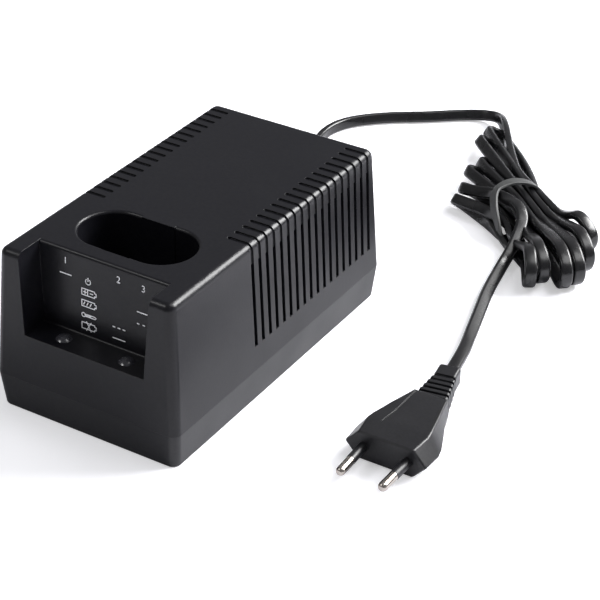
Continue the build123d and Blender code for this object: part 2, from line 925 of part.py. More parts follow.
def make_bracket_screws():
    """Two screws through the bracket feet."""
    head_base = core_base_height + bracket_thickness
    length = min(small_screw_length, head_base - floor_thickness / 2)
    return [
        small_screw(side * bracket_hole_x, transformer_y, head_base, length) for side in (-1, 1)
    ]


def make_filter_capacitor():
    """Electrolytic can that stands on the board, with a crimp groove."""
    y = power_row_y - capacitor_radius
    can = post(capacitor_x, y, board_top, board_top + capacitor_height, capacitor_radius)
    can = fillet(top_edges(can), smallest_radius)
    groove_z = board_top + capacitor_height * 0.12
    groove = Pos(capacitor_x, y, groove_z) * Torus(capacitor_radius, smallest_radius)
    return can - groove


def make_heat_sink():
    """Aluminium plate with upright fins on its rear face."""
    low_x = heat_sink_x - heat_sink_width / 2
    high_x = heat_sink_x + heat_sink_width / 2
    top = board_top + heat_sink_height
    sink = slab(low_x, high_x, power_row_y - heat_sink_base, power_row_y, board_top, top)
    pitch = (heat_sink_width - heat_sink_fin) / (heat_sink_fins - 1)
    for index in range(heat_sink_fins):
        x = low_x + index * pitch
        sink += slab(
            x, x + heat_sink_fin, power_row_y, power_row_y + heat_sink_fin_length, board_top, top
        )
    hole_z = transistor_hole_height()
    hole_y = power_row_y - heat_sink_base / 2
    radius = transistor_screw_radius + fit_clearance
    return sink - rod_y(heat_sink_x, hole_y, hole_z, radius, 2 * heat_sink_base)


def transistor_hole_height():
    """Height of the screw hole in the transistor's tab."""
    body_top = board_top + transistor_lead_length + transistor_height
    return body_top + (transistor_tab_height - transistor_height) / 2


def make_power_transistor():
    """Power switch bolted to the heat sink: moulded body, metal tab and three leads."""
    back = power_row_y - heat_sink_base
    low = board_top + transistor_lead_length
    half = transistor_width / 2
    device = slab(
        heat_sink_x - half,
        heat_sink_x + half,
        back - transistor_depth,
        back,
        low,
        low + transistor_height,
    )
    device += slab(
        heat_sink_x - half,
        heat_sink_x + half,
        back - transistor_tab_thickness,
        back,
        low,
        low + transistor_tab_height,
    )
    lead_y = back - transistor_depth / 2
    for index in (-1, 0, 1):
        x = heat_sink_x + index * chip_lead_pitch
        device += slab(
            x - terminal_half,
            x + terminal_half,
            lead_y - terminal_half,
            lead_y + terminal_half,
            board_top,
            low,
        )
    radius = transistor_screw_radius + fit_clearance
    return device - rod_y(heat_sink_x, back, transistor_hole_height(), radius, wall * 2)


def make_transistor_screw():
    """Screw that clamps the transistor's tab to the heat sink."""
    length = transistor_tab_thickness + heat_sink_base
    screw = pan_screw(
        0,
        0,
        0,
        length,
        transistor_screw_radius,
        small_screw_head_radius,
        small_screw_head_height,
    )
    face_y = power_row_y - heat_sink_base - transistor_tab_thickness
    return Pos(heat_sink_x, face_y, transistor_hole_height()) * Rot(90, 0, 0) * screw


def axial_part(x, y, radius, length, lead_radius, lift):
    """Round part along Y held on two bent leads above the board."""
    z = board_top + lift + radius
    barrel = rod_y(x, y, z, radius, length)
    reach = length / 2 + 3 * lead_radius
    lead = rod_y(x, y, z, lead_radius, 2 * (reach + lead_radius))
    part = fillet(barrel.edges(), radius * 0.2) + lead
    for side in (-1, 1):
        part += post(x, y + side * reach, board_top, z, 0.8 * lead_radius)
    return part


def make_rectifier_diodes():
    """Four rectifier diodes in a row."""
    first_x = -diode_pitch * (diode_count - 1) / 2
    y = pocket_y + pocket_width / 2 - diode_length
    return [
        axial_part(
            first_x + diode_pitch * index, y, diode_radius, diode_length, diode_lead_radius, 0.6
        )
        for index in range(diode_count)
    ]


def make_control_chip():
    """Charge controller in a sixteen-lead package."""
    y = pocket_y - pocket_width / 4
    lift = 0.8
    half_length = chip_length / 2
    half_width = chip_width / 2
    chip = slab(
        -half_length,
        half_length,
        y - half_width,
        y + half_width,
        board_top + lift,
        board_top + lift + chip_height,
    )
    first_x = -chip_lead_pitch * 3.5
    for index in range(8):
        x = first_x + chip_lead_pitch * index
        for side in (-1, 1):
            edge = y + side * half_width
            chip += slab(
                x - terminal_half,
                x + terminal_half,
                edge - terminal_half,
                edge + terminal_half,
                board_top,
                board_top + lift + chip_height / 2,
            )
    return chip


def make_resistors():
    """Row of small resistors near the front of the board."""
    first_x = -resistor_pitch * (resistor_count - 1) / 2
    y = board_front + resistor_length + board_post_inset + resistor_pitch
    return [
        axial_part(
            first_x + resistor_pitch * index,
            y,
            resistor_radius,
            resistor_length,
            resistor_lead_radius,
            0.4,
        )
        for index in range(resistor_count)
    ]


def make_ceramic_capacitors():
    """Small discs standing on the board beside the controller."""
    discs = []
    x = board_width / 2 - disc_radius - disc_pitch / 2
    for index in range(disc_count):
        y = pocket_y - disc_pitch + disc_pitch * index
        disc = rod_x(x, y, board_top + disc_radius, disc_radius, disc_thickness)
        discs.append(fillet(disc.edges(), disc_thickness * 0.3))
    return discs


def fuse_place():
    """Middle of the fuse: x, y and height."""
    x = -board_width / 2 + fuse_radius + fuse_clip_thickness + board_post_inset / 2
    return x, pocket_y, board_top + fuse_radius + 2 * fuse_clip_thickness


def make_fuse_link():
    """Glass fuse with a cap at each end."""
    x, y, z = fuse_place()
    tube = rod_y(x, y, z, fuse_radius - fuse_clip_thickness / 2, fuse_length)
    for side in (-1, 1):
        cap_y = y + side * (fuse_length - fuse_cap_length) / 2
        tube += rod_y(x, cap_y, z, fuse_radius, fuse_cap_length)
    return tube


def make_fuse_clips():
    """Two sprung clips that hold the fuse caps."""
    x, y, z = fuse_place()
    clips = []
    for side in (-1, 1):
        clip_y = y + side * (fuse_length - fuse_cap_length) / 2
        outer = rod_y(x, clip_y, z, fuse_radius + fuse_clip_thickness, fuse_clip_width)
        low_half = fuse_clip_width / 2
        foot = slab(
            x - fuse_radius / 2,
            x + fuse_radius / 2,
            clip_y - low_half,
            clip_y + low_half,
            board_top,
            z,
        )
        mouth = slab(
            x - 2 * fuse_radius,
            x + 2 * fuse_radius,
            clip_y - fuse_clip_width,
            clip_y + fuse_clip_width,
            z + fuse_radius / 2,
            z + 3 * fuse_radius,
        )
        bore = rod_y(x, clip_y, z, fuse_radius, 2 * fuse_clip_width)
        clips.append(outer + foot - mouth - bore)
    return clips


def wire_run(points):
    """Round wire along straight runs joined by arcs of one radius."""
    path = FilletPolyline(*points, radius=wire_bend_radius)
    profile = Plane(origin=path @ 0, z_dir=path % 0) * Circle(wire_radius)
    return sweep(profile, path=path)


def make_secondary_leads():
    """Two leads from the secondary winding forward and down to the board."""
    z = window_high - bobbin_wall - bobbin_clearance - 4 * wire_radius
    drop_y = board_rear - wire_board_margin
    leads = []
    for side in (-1, 1):
        x = side * core_leg
        points = [
            (x, bobbin_front + winding_margin, z),
            (x, drop_y, z),
            (x, drop_y, board_top),
        ]
        leads.append(wire_run(points))
    return leads


def make_mains_conductors():
    """Two insulated conductors from the clamped lead to the primary winding."""
    turn_y = bobbin_rear + wire_radius + winding_gap
    z = window_low + bobbin_wall + bobbin_clearance + 4 * wire_radius
    conductors = []
    for side in (-1, 1):
        start_x = cord_exit_x + side * inner_cord_width / 4
        end_x = start_x + conductor_shift
        points = [
            (start_x, inner_cord_end, parting_height),
            (start_x, turn_y, parting_height),
            (end_x, turn_y, z),
            (end_x, bobbin_rear - winding_margin, z),
        ]
        conductors.append(wire_run(points))
    return conductors


def flat_section(width, height):
    """Rounded outline of a flat lead or gland, in the plane across it."""
    radius = min(width, height) * 0.45
    return RectangleRounded(width, height, radius)


def across(y):
    """Plane across the lead's exit, facing the rear, at y."""
    return Plane(origin=(cord_exit_x, y, parting_height), x_dir=(-1, 0, 0), z_dir=(0, 1, 0))


def make_inner_cord():
    """Stretch of the flat lead inside the housing, from the gland to where it splits."""
    start = rear - wall - gland_draft_gap - gland_flange_thickness - fit_clearance
    section = flat_section(inner_cord_width, inner_cord_height)
    return extrude(across(inner_cord_end) * section, start - inner_cord_end)


def make_cord_clamp():
    """Bar that presses the lead into its saddle."""
    base = parting_height + inner_cord_height / 2
    half = clamp_length / 2
    bar = slab(
        cord_exit_x - half,
        cord_exit_x + half,
        clamp_y - clamp_width / 2,
        clamp_y + clamp_width / 2,
        base,
        base + clamp_thickness,
    )
    for side in (-1, 1):
        x = cord_exit_x + side * clamp_post_pitch / 2
        bar -= post(x, clamp_y, base, base + clamp_thickness, small_screw_radius + fit_clearance)
    return bar


def make_clamp_screws():
    """Two screws that pull the clamp bar down."""
    head_base = parting_height + inner_cord_height / 2 + clamp_thickness
    return [
        small_screw(
            cord_exit_x + side * clamp_post_pitch / 2, clamp_y, head_base, small_screw_length
        )
        for side in (-1, 1)
    ]


def make_strain_relief():
    """Rubber gland: a flange each side of the wall and a slotted tapering sleeve outside."""
    inner_face = rear - wall - gland_draft_gap
    inner_end = inner_face - gland_flange_thickness
    outer_face = rear + fit_clearance
    collar_end = outer_face + gland_flange_thickness
    inner = extrude(
        across(inner_end) * flat_section(gland_outer_width, gland_outer_height),
        gland_flange_thickness,
    )
    neck = slab(
        cord_exit_x - gland_neck_width / 2,
        cord_exit_x + gland_neck_width / 2,
        inner_face,
        outer_face,
        parting_height - gland_neck_height / 2,
        parting_height + gland_neck_height / 2,
    )
    collar = extrude(
        across(outer_face) * flat_section(gland_outer_width, gland_outer_height),
        gland_flange_thickness,
    )
    root = across(collar_end) * flat_section(gland_neck_width, gland_neck_height)
    end = across(rear + gland_length) * flat_section(gland_tail_width, gland_tail_height)
    sleeve = loft([root, end], ruled=True)
    pitch = (gland_length - gland_flange_thickness) / (gland_slots + 1)
    for index in range(gland_slots):
        y = collar_end + pitch * (index + 0.7)
        side = 1 if index % 2 else -1
        for turn in (-1, 1):
            z_edge = parting_height + turn * (gland_neck_height / 2)
            x_edge = cord_exit_x + side * turn * gland_neck_width / 2
            sleeve -= slab(
                min(x_edge, cord_exit_x),
                max(x_edge, cord_exit_x),
                y,
                y + gland_slot_width,
                min(z_edge, z_edge - turn * gland_slot_depth),
                max(z_edge, z_edge - turn * gland_slot_depth),
            )
    return inner + neck + collar + sleeve


def bend_radii(route):
    """Largest arc that the two runs at each corner allow."""
    radii = []
    for before, corner, after in zip(route, route[1:], route[2:]):
        run_in = Vector(*corner) - Vector(*before)
        run_out = Vector(*after) - Vector(*corner)
        turn = math.radians(run_in.get_angle(run_out))
        shorter = min(run_in.length, run_out.length)
        radii.append(0.45 * shorter / math.tan(turn / 2))
    return radii


def make_cord_tube(name, route):
    """Plain round tube along the lead's route."""
    radii = bend_radii(route)
    path = FilletPolyline(*route, radius=radii)
    profile = Plane(origin=path @ 0, z_dir=path % 0) * Circle(cord_width / 2)
    tube = sweep(profile, path=path)
    runs = [(Vector(*b) - Vector(*a)).length for a, b in zip(route, route[1:])]
    print(name, "bend radii", [round(radius, 1) for radius in radii])
    print(name, "runs", [round(run, 1) for run in runs], "length", round(path.length, 1))
    return tube


def hank_frame():
    """Location of the hank's waist, with X along the hank."""
    x, y = hank_waist
    turn = math.degrees(math.atan2(hank_axis_end[1] - y, hank_axis_end[0] - x))
    return Pos(x, y, 0) * Rot(0, 0, turn)


def waist_corner(along, across_axis):
    """Point in plan beside the waist, given along and across the hank."""
    place = hank_frame() * Pos(along, across_axis, 0)
    return place.position.X, place.position.Y


def fan(points, arc_start, arc_through, arc_end):
    """Flat fan of loops: straight sides through points, closed by an arc at the loop ends."""
    sides = Polyline(arc_end, *points, arc_start)
    arc = ThreePointArc(arc_start, arc_through, arc_end)
    outline = make_face(sides + arc)
    return Pos(0, 0, hank_base) * extrude(outline, hank_height)


def make_cord_hank():
    """Outer shape of the tied hank: two fans of loops joined by a narrow waist."""
    half_tie = tie_width / 2
    half_waist = waist_width / 2
    left_far = waist_corner(-half_tie, half_waist)
    left_near = waist_corner(-half_tie, -half_waist)
    right_far = waist_corner(half_tie, half_waist)
    right_near = waist_corner(half_tie, -half_waist)
    left = fan([left_near, left_far, *lead_face], left_arc_start, left_arc_middle, left_arc_end)
    right = fan(
        [right_far, right_near, *tail_face], right_arc_start, right_arc_middle, right_arc_end
    )
    waist = hank_frame() * Pos(0, 0, waist_base + waist_height / 2) * Box(
        tie_width, waist_width, waist_height
    )
    return left + waist + right


def make_hank_tie():
    """Flat twist tie round the waist of the hank."""
    outer = Box(tie_width, waist_width + 2 * tie_thickness, waist_height + 2 * tie_thickness)
    inner = Box(2 * tie_width, waist_width, waist_height)
    return hank_frame() * Pos(0, 0, waist_base + waist_height / 2) * (outer - inner)


def plug_location():
    """Location of the plug: Y runs from the engagement face back to the lead."""
    return Pos(plug_face[0], plug_face[1], plug_axis_height) * Rot(0, 0, plug_turn)


def plug_section(y, width, height, top_width):
    """Six-sided section across the plug, widest at half height."""
    outline = Polygon(
        (-width / 2, 0),
        (-top_width / 2, -height / 2),
        (top_width / 2, -height / 2),
        (width / 2, 0),
        (top_width / 2, height / 2),
        (-top_width / 2, height / 2),
        align=None,
    )
    return Plane(origin=(0, y, 0), x_dir=(-1, 0, 0), z_dir=(0, 1, 0)) * outline


def pin_locations():
    """Locations of the two pins at the engagement face, pointing forward and in."""
    lean = math.degrees(math.atan((pin_spacing - pin_tip_spacing) / 2 / pin_length))
    return [
        Pos(side * pin_spacing / 2, 0, 0) * Rot(0, 0, -side * lean) * Rot(90, 0, 0)
        for side in (-1, 1)
    ]


def make_plug_body():
    """Moulded body of the flat plug, tapering back to the lead."""
    nose = loft(
        [
            plug_section(0, plug_face_width, plug_face_height, plug_top_width),
            plug_section(plug_shoulder, plug_width, plug_height, plug_top_width),
        ],
        ruled=True,
    )
    tail = loft(
        [
            plug_section(plug_shoulder, plug_width, plug_height, plug_top_width),
            plug_section(
                plug_body_length, plug_rear_width, plug_rear_height, plug_rear_top_width
            ),
        ],
        ruled=True,
    )
    body = nose + tail
    bore_radius = pin_core_radius + fit_clearance
    for place in pin_locations():
        body -= place * Cylinder(bore_radius, 2 * (pin_embed + fit_clearance))
    return plug_location() * body


def make_plug_pins():
    """Two metal pins: a slim core under the sleeve and a full-size tip."""
    pins = []
    for place in pin_locations():
        core_length = pin_embed + pin_sleeve_length
        upright = (Align.CENTER, Align.CENTER, Align.MIN)
        core = Pos(0, 0, -pin_embed) * Cylinder(pin_core_radius, core_length, align=upright)
        tip_length = pin_length - pin_sleeve_length
        tip = Pos(0, 0, pin_sleeve_length) * Cylinder(pin_radius, tip_length, align=upright)
        tip = fillet(top_edges(tip), pin_tip_radius)
        pins.append(plug_location() * place * (core + tip))
    return pins


def make_plug_sleeves():
    """Insulating sleeves on the roots of the pins."""
    sleeves = []
    ahead = slab(-plug_width, plug_width, -pin_length, 0, -plug_height, plug_height)
    for place in pin_locations():
        tube = Cylinder(pin_radius, 2 * pin_sleeve_length)
        bore = Cylinder(pin_core_radius + fit_clearance, 2 * pin_sleeve_length)
        sleeves.append(plug_location() * (place * (tube - bore) & ahead))
    return sleeves


def relief_section(y, width, height):
    """Rounded section across the plug's strain relief."""
    outline = RectangleRounded(width, height, min(width, height) * 0.35)
    return Plane(origin=(0, y, 0), x_dir=(-1, 0, 0), z_dir=(0, 1, 0)) * outline


def make_plug_strain_relief():
    """Ribbed sleeve between the plug and the lead, ending in a collar."""
    start = plug_body_length
    end = plug_body_length + relief_length
    collar_start = end - relief_collar_length
    core = loft(
        [
            relief_section(start, relief_core_width, relief_core_height),
            relief_section(end, relief_core_width, relief_core_height - fit_clearance),
        ],
        ruled=True,
    )
    collar = extrude(
        relief_section(collar_start, relief_end_width, relief_end_height), relief_collar_length
    )
    sleeve = core + fillet(collar.edges().group_by(Axis.Y)[-1], smallest_radius)
    pitch = (relief_length - relief_collar_length) / relief_ribs
    for index in range(relief_ribs):
        share = index / relief_ribs
        width = relief_width + share * (relief_end_width - relief_width)
        height = relief_height + share * (relief_end_height - relief_height)
        sleeve += extrude(
            relief_section(start + pitch * index, width, height), relief_rib_thickness
        )
    return plug_location() * sleeve


sub_parts = {
    "upper_housing": make_upper_housing(),
    "base_tray": make_base_tray(),
    "housing_screws": make_housing_screws(),
    "indicator_lens_left": make_lens(lamp_places[0]),
    "indicator_lens_right": make_lens(lamp_places[1]),
    "indicator_lamp_left": make_lamp(lamp_places[0]),
    "indicator_lamp_right": make_lamp(lamp_places[1]),
    "lamp_spacers": make_lamp_spacers(),
    "lamp_leads": make_lamp_leads(),
    "circuit_board": make_circuit_board(),
    "board_screws": make_board_screws(),
    "contact_carrier": make_contact_carrier(),
    "contact_leaf_positive": make_contact_leaf(contact_places[0]),
    "contact_leaf_sensor": make_contact_leaf(contact_places[1]),
    "contact_leaf_negative": make_contact_leaf(contact_places[2]),
    "contact_terminals": make_contact_terminals(),
    "transformer_core": make_transformer_core(),
    "transformer_bobbin": make_transformer_bobbin(),
    "primary_winding": make_primary_winding(),
    "secondary_winding": make_secondary_winding(),
    "transformer_bracket": make_transformer_bracket(),
    "bracket_screws": make_bracket_screws(),
    "filter_capacitor": make_filter_capacitor(),
    "heat_sink": make_heat_sink(),
    "power_transistor": make_power_transistor(),
    "transistor_screw": make_transistor_screw(),
    "rectifier_diodes": make_rectifier_diodes(),
    "control_chip": make_control_chip(),
    "resistors": make_resistors(),
    "ceramic_capacitors": make_ceramic_capacitors(),
    "fuse_link": make_fuse_link(),
    "fuse_clips": make_fuse_clips(),
    "secondary_leads": make_secondary_leads(),
    "mains_conductors": make_mains_conductors(),
    "inner_cord": make_inner_cord(),
    "cord_clamp": make_cord_clamp(),
    "clamp_screws": make_clamp_screws(),
    "strain_relief": make_strain_relief(),
    "cord_lead": make_cord_tube("cord_lead", lead_route),
    "cord_hank": make_cord_hank(),
    "hank_tie": make_hank_tie(),
    "cord_tail": make_cord_tube("cord_tail", tail_route),
    "plug_body": make_plug_body(),
    "plug_strain_relief": make_plug_strain_relief(),
    "plug_pins": make_plug_pins(),
    "plug_pin_sleeves": make_plug_sleeves(),
}

os.makedirs("parts", exist_ok=True)
for node, shape in sub_parts.items():
    solids = shape if isinstance(shape, list) else [shape]
    export_step(Compound(children=[Part() + solid for solid in solids]), f"parts/{node}.step")
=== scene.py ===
"""Looks of a mains charger for stick-shaped battery packs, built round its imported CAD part."""

import json
import logging
import math
from collections.abc import Iterator
from contextlib import contextmanager
from dataclasses import dataclass
from enum import Enum
from itertools import zip_longest

import bmesh
import bpy
from mathutils import Matrix, Vector

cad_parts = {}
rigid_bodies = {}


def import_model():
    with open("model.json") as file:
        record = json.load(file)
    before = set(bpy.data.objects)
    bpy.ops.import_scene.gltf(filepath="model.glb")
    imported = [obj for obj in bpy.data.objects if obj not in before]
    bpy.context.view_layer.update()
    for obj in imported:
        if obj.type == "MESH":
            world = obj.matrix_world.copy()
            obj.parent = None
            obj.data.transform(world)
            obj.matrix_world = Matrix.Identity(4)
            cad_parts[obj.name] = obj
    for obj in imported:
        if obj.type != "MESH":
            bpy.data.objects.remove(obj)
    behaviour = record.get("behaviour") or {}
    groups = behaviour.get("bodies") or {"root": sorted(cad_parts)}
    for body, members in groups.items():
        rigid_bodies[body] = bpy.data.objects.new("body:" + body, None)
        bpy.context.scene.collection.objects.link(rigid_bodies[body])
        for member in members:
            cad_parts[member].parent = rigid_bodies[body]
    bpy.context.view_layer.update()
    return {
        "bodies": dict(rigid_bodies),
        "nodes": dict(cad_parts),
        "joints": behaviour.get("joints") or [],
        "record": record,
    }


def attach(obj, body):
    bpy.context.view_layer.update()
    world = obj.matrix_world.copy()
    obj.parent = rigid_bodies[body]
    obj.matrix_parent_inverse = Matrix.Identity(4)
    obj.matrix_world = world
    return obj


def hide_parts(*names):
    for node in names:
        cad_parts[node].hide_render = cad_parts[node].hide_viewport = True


log = logging.getLogger("charger")

Place = tuple[float, float]
Point = tuple[float, float, float]
Face = tuple[int, ...]
Knot = tuple[Vector, Vector]  # a control point of the lead, and the direction of its width there
Piece = bpy.types.Object
Mesh = bpy.types.Mesh
Tree = bpy.types.NodeTree
Socket = bpy.types.NodeSocket

MM = 0.001
UP = Vector((0.0, 0.0, 1.0))
ROOT = "charger"
SAME_PLACE = 1e-7  # points this close, in metres, are one
SAME_CORNER = 2e-6  # the same for the loose triangles of a CAD node
FLAT = math.radians(0.2)  # faces that turn less than this make one flat face


# ---------------- places and node trees


def mm(*values: float) -> Vector:
    """Returns a place given in millimetres as a vector in metres."""
    return Vector(values) * MM


def frame_at(place: Point, turn: float) -> Matrix:
    """Returns the frame that stands at a place in millimetres, turned about Z by degrees."""
    return Matrix.Translation(mm(*place)) @ Matrix.Rotation(math.radians(turn), 4, "Z")


def linear(colour: str) -> tuple[float, float, float, float]:
    """Turns an sRGB hex colour into the linear colour that shaders take.

    Args:
        colour: six hex digits.

    Returns:
        Linear red, green, blue and an alpha of 1.
    """
    parts = [int(colour[i : i + 2], 16) / 255 for i in (0, 2, 4)]
    return (*(p / 12.92 if p <= 0.04045 else ((p + 0.055) / 1.055) ** 2.4 for p in parts), 1.0)


def add_node(tree: Tree, kind: str, inputs: dict | None = None, **settings: object) -> bpy.types.Node:
    """Adds a node with its settings, its values and its links.

    Args:
        tree: the tree that gets the node.
        kind: Blender's name for the kind of node.
        inputs: each input's name or number, with its value, or the output that feeds it, or the
            node whose first output feeds it.
        settings: properties of the node itself.

    Returns:
        The new node.
    """
    node = tree.nodes.new(kind)
    for name, value in settings.items():
        setattr(node, name, value)
    for key, value in (inputs or {}).items():
        source = value.outputs[0] if isinstance(value, bpy.types.Node) else value
        if isinstance(source, Socket):
            tree.links.new(source, node.inputs[key])
        else:
            node.inputs[key].default_value = source
    return node


def cleared(holder: bpy.types.Material | bpy.types.World) -> Tree:
    """Turns on the nodes of a material or world, without the ones that it starts with.

    Args:
        holder: the material or world.

    Returns:
        Its empty tree.
    """
    holder.use_nodes = True
    holder.node_tree.nodes.clear()
    return holder.node_tree


# ---------------- meshes and pieces


def add_object(name: str, data: bpy.types.ID) -> Piece:
    """Puts an object into the scene, at the origin.

    Args:
        name: its name.
        data: its mesh, curve, light or camera.

    Returns:
        The new object.
    """
    added = bpy.data.objects.new(name, data)
    bpy.context.scene.collection.objects.link(added)
    return added


def add_piece(name: str, mesh: Mesh, material: bpy.types.Material | None = None) -> Piece:
    """Puts a mesh into the scene as a piece whose object sits at the origin.

    Args:
        name: the piece's name.
        mesh: its mesh, in metres, in the part's own frame.
        material: its finish, or None where the mesh carries its own.

    Returns:
        The new object.
    """
    mesh.name = name
    if material is not None:
        mesh.materials.clear()
        mesh.materials.append(material)
    return add_object(name, mesh)


def stand_in(piece: Piece, slot: str, *nodes: str) -> Piece:
    """Lets a piece ride on the charger in the place of CAD nodes.

    Args:
        piece: the piece.
        slot: the name of the material slot for its finish; not used.
        nodes: the CAD nodes that it stands for.

    Returns:
        The same piece.
    """
    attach(piece, ROOT)
    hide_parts(*nodes)
    return piece


@contextmanager
def editing(mesh: Mesh) -> Iterator[bmesh.types.BMesh]:
    """Opens a mesh for a block of edits and writes it back after them.

    Args:
        mesh: the mesh.

    Yields:
        Its editable form.
    """
    form = bmesh.new()
    form.from_mesh(mesh)
    yield form
    form.to_mesh(mesh)
    form.free()


def close_up(form: bmesh.types.BMesh) -> None:
    """Joins points that are one and turns the faces outwards."""
    bmesh.ops.remove_doubles(form, verts=form.verts, dist=SAME_PLACE)
    bmesh.ops.recalc_face_normals(form, faces=form.faces)


def mesh_from(points: list[Vector], faces: list[Face]) -> Mesh:
    """Makes a mesh from points and faces, with its faces turned outwards.

    Args:
        points: vertices in metres.
        faces: vertex numbers of each face.

    Returns:
        The new mesh.
    """
    mesh = bpy.data.meshes.new("form")
    mesh.from_pydata(points, [], faces)
    with editing(mesh) as form:
        close_up(form)
    return mesh


def tube_faces(rings: int, corners: int, closed: bool = False, first: int = 0) -> list[Face]:
    """Lists the faces of a tube whose points come ring by ring.

    Args:
        rings: how many rings it has.
        corners: points in each ring.
        closed: whether the last ring joins the first, where otherwise a cap closes each end.
        first: the number of the tube's first point.

    Returns:
        The point numbers of each face.
    """
    starts = [first + ring * corners for ring in range(rings)]
    faces = [
        (here + k, here + (k + 1) % corners, after + (k + 1) % corners, after + k)
        for here, after in zip(starts, starts[1:] + starts[: int(closed)])
        for k in range(corners)
    ]
    if not closed:
        ends = [range(start, start + corners) for start in (starts[0], starts[-1])]
        faces += [tuple(ends[0]), tuple(reversed(ends[1]))]
    return faces


def evaluated(holder: Piece) -> Mesh:
    """Returns the plain mesh that an object's curve or modifiers come to."""
    graph = bpy.context.evaluated_depsgraph_get()
    return bpy.data.meshes.new_from_object(holder.evaluated_get(graph), depsgraph=graph)


def baked(piece: Piece) -> Piece:
    """Applies every modifier of a piece.

    Args:
        piece: the piece.

    Returns:
        The same piece, with a plain mesh.
    """
    mesh = evaluated(piece)
    piece.modifiers.clear()
    piece.data = mesh
    mesh.name = piece.name
    return piece


def smooth_line(spots: list[Vector], steps: int, closed: bool = False) -> list[Vector]:
    """Runs one NURBS line along its control points.

    Args:
        spots: the control points, in millimetres.
        steps: how many points each span is drawn with.
        closed: whether the line runs round, where otherwise it runs from end to end.

    Returns:
        Points along the line, in metres.
    """
    curve = bpy.data.curves.new("line", "CURVE")
    curve.dimensions = "3D"
    spline = curve.splines.new("NURBS")
    spline.points.add(len(spots) - 1)
    for knot, spot in zip(spline.points, spots):
        knot.co = (*(spot * MM), 1.0)
    spline.order_u = 3
    spline.use_endpoint_u = not closed
    spline.use_cyclic_u = closed
    spline.resolution_u = steps
    carrier = add_object("line", curve)
    line = evaluated(carrier)
    path = [v.co.copy() for v in line.vertices]
    bpy.data.meshes.remove(line)
    bpy.data.objects.remove(carrier)
    return path


def eased(piece: Piece, width: float, segments: int, angle: float) -> Piece:
    """Rounds the edges of a piece.

    Args:
        piece: the piece.
        width: how wide the rounding is, in millimetres.
        segments: how many faces go round an edge.
        angle: the turn in degrees from which an edge is rounded.

    Returns:
        The same piece, with a plain mesh.
    """
    rounding = piece.modifiers.new("eased edges", "BEVEL")
    rounding.width = width * MM
    rounding.segments = segments
    rounding.limit_method = "ANGLE"
    rounding.angle_limit = math.radians(angle)
    return baked(piece)


def softened(piece: Piece, angle: float, keep: bool = True) -> Piece:
    """Shades a piece smooth, except along edges sharper than an angle.

    Args:
        piece: the piece to shade.
        angle: the sharpest turn in degrees that is still shaded smooth.
        keep: whether flat faces keep their flat shading up to their rounded edges.

    Returns:
        The same piece.
    """
    mesh = piece.data
    mesh.polygons.foreach_set("use_smooth", [True] * len(mesh.polygons))
    mesh.set_sharp_from_angle(angle=math.radians(angle))
    if keep:
        piece.modifiers.new("even shading", "WEIGHTED_NORMAL").keep_sharp = True
        baked(piece)
    return piece


# ---------------- Geometry Nodes


def start_tree(name: str, sockets: dict[str, str]) -> tuple[Tree, bpy.types.NodeOutputs]:
    """Starts a tree that repeats a form.

    Args:
        name: the tree's name.
        sockets: the name of each of its inputs, with its type.

    Returns:
        The tree, and the inputs by name as nodes can read them.
    """
    tree = bpy.data.node_groups.new(name, "GeometryNodeTree")
    tree.interface.new_socket("Geometry", in_out="OUTPUT", socket_type="NodeSocketGeometry")
    for key, kind in sockets.items():
        tree.interface.new_socket(key, in_out="INPUT", socket_type=f"NodeSocket{kind}")
    return tree, add_node(tree, "NodeGroupInput").outputs


def end_tree(tree: Tree, copies: bpy.types.Node, finish: Socket) -> Tree:
    """Ends a tree in real geometry that carries its finish.

    Args:
        tree: the tree.
        copies: the node that places the copies.
        finish: the input that brings the material.

    Returns:
        The same tree.
    """
    real = add_node(tree, "GeometryNodeRealizeInstances", {"Geometry": copies})
    dressed = add_node(tree, "GeometryNodeSetMaterial", {"Geometry": real, "Material": finish})
    add_node(tree, "NodeGroupOutput", {"Geometry": dressed})
    return tree


def repeated(name: str, tree: Tree, values: dict[str, object]) -> Piece:
    """Runs a tree for one piece.

    Args:
        name: the piece's name.
        tree: the tree.
        values: the value of each of its inputs, lengths in metres.

    Returns:
        The piece, with a plain mesh.
    """
    piece = add_piece(name, bpy.data.meshes.new(name))
    repeat = piece.modifiers.new(tree.name, "NODES")
    repeat.node_group = tree
    for item in tree.interface.items_tree:
        if item.in_out == "INPUT":
            repeat[item.identifier] = values[item.name]
    return baked(piece)


# ---------------- finishes


class Shine(Enum):
    """How much of a mirror a moulding's skin is: fine tool texture swallows part of the reflection."""

    TEXTURED = 0.3
    COARSE = 0.34
    SATIN = 0.4
    POLISHED = 0.5


NOISE_REACH: Place = (0.3, 0.7)  # nearly all of a noise pattern lies between these
_made: dict[str, bpy.types.Material] = {}  # each finish's material by name, once it is made


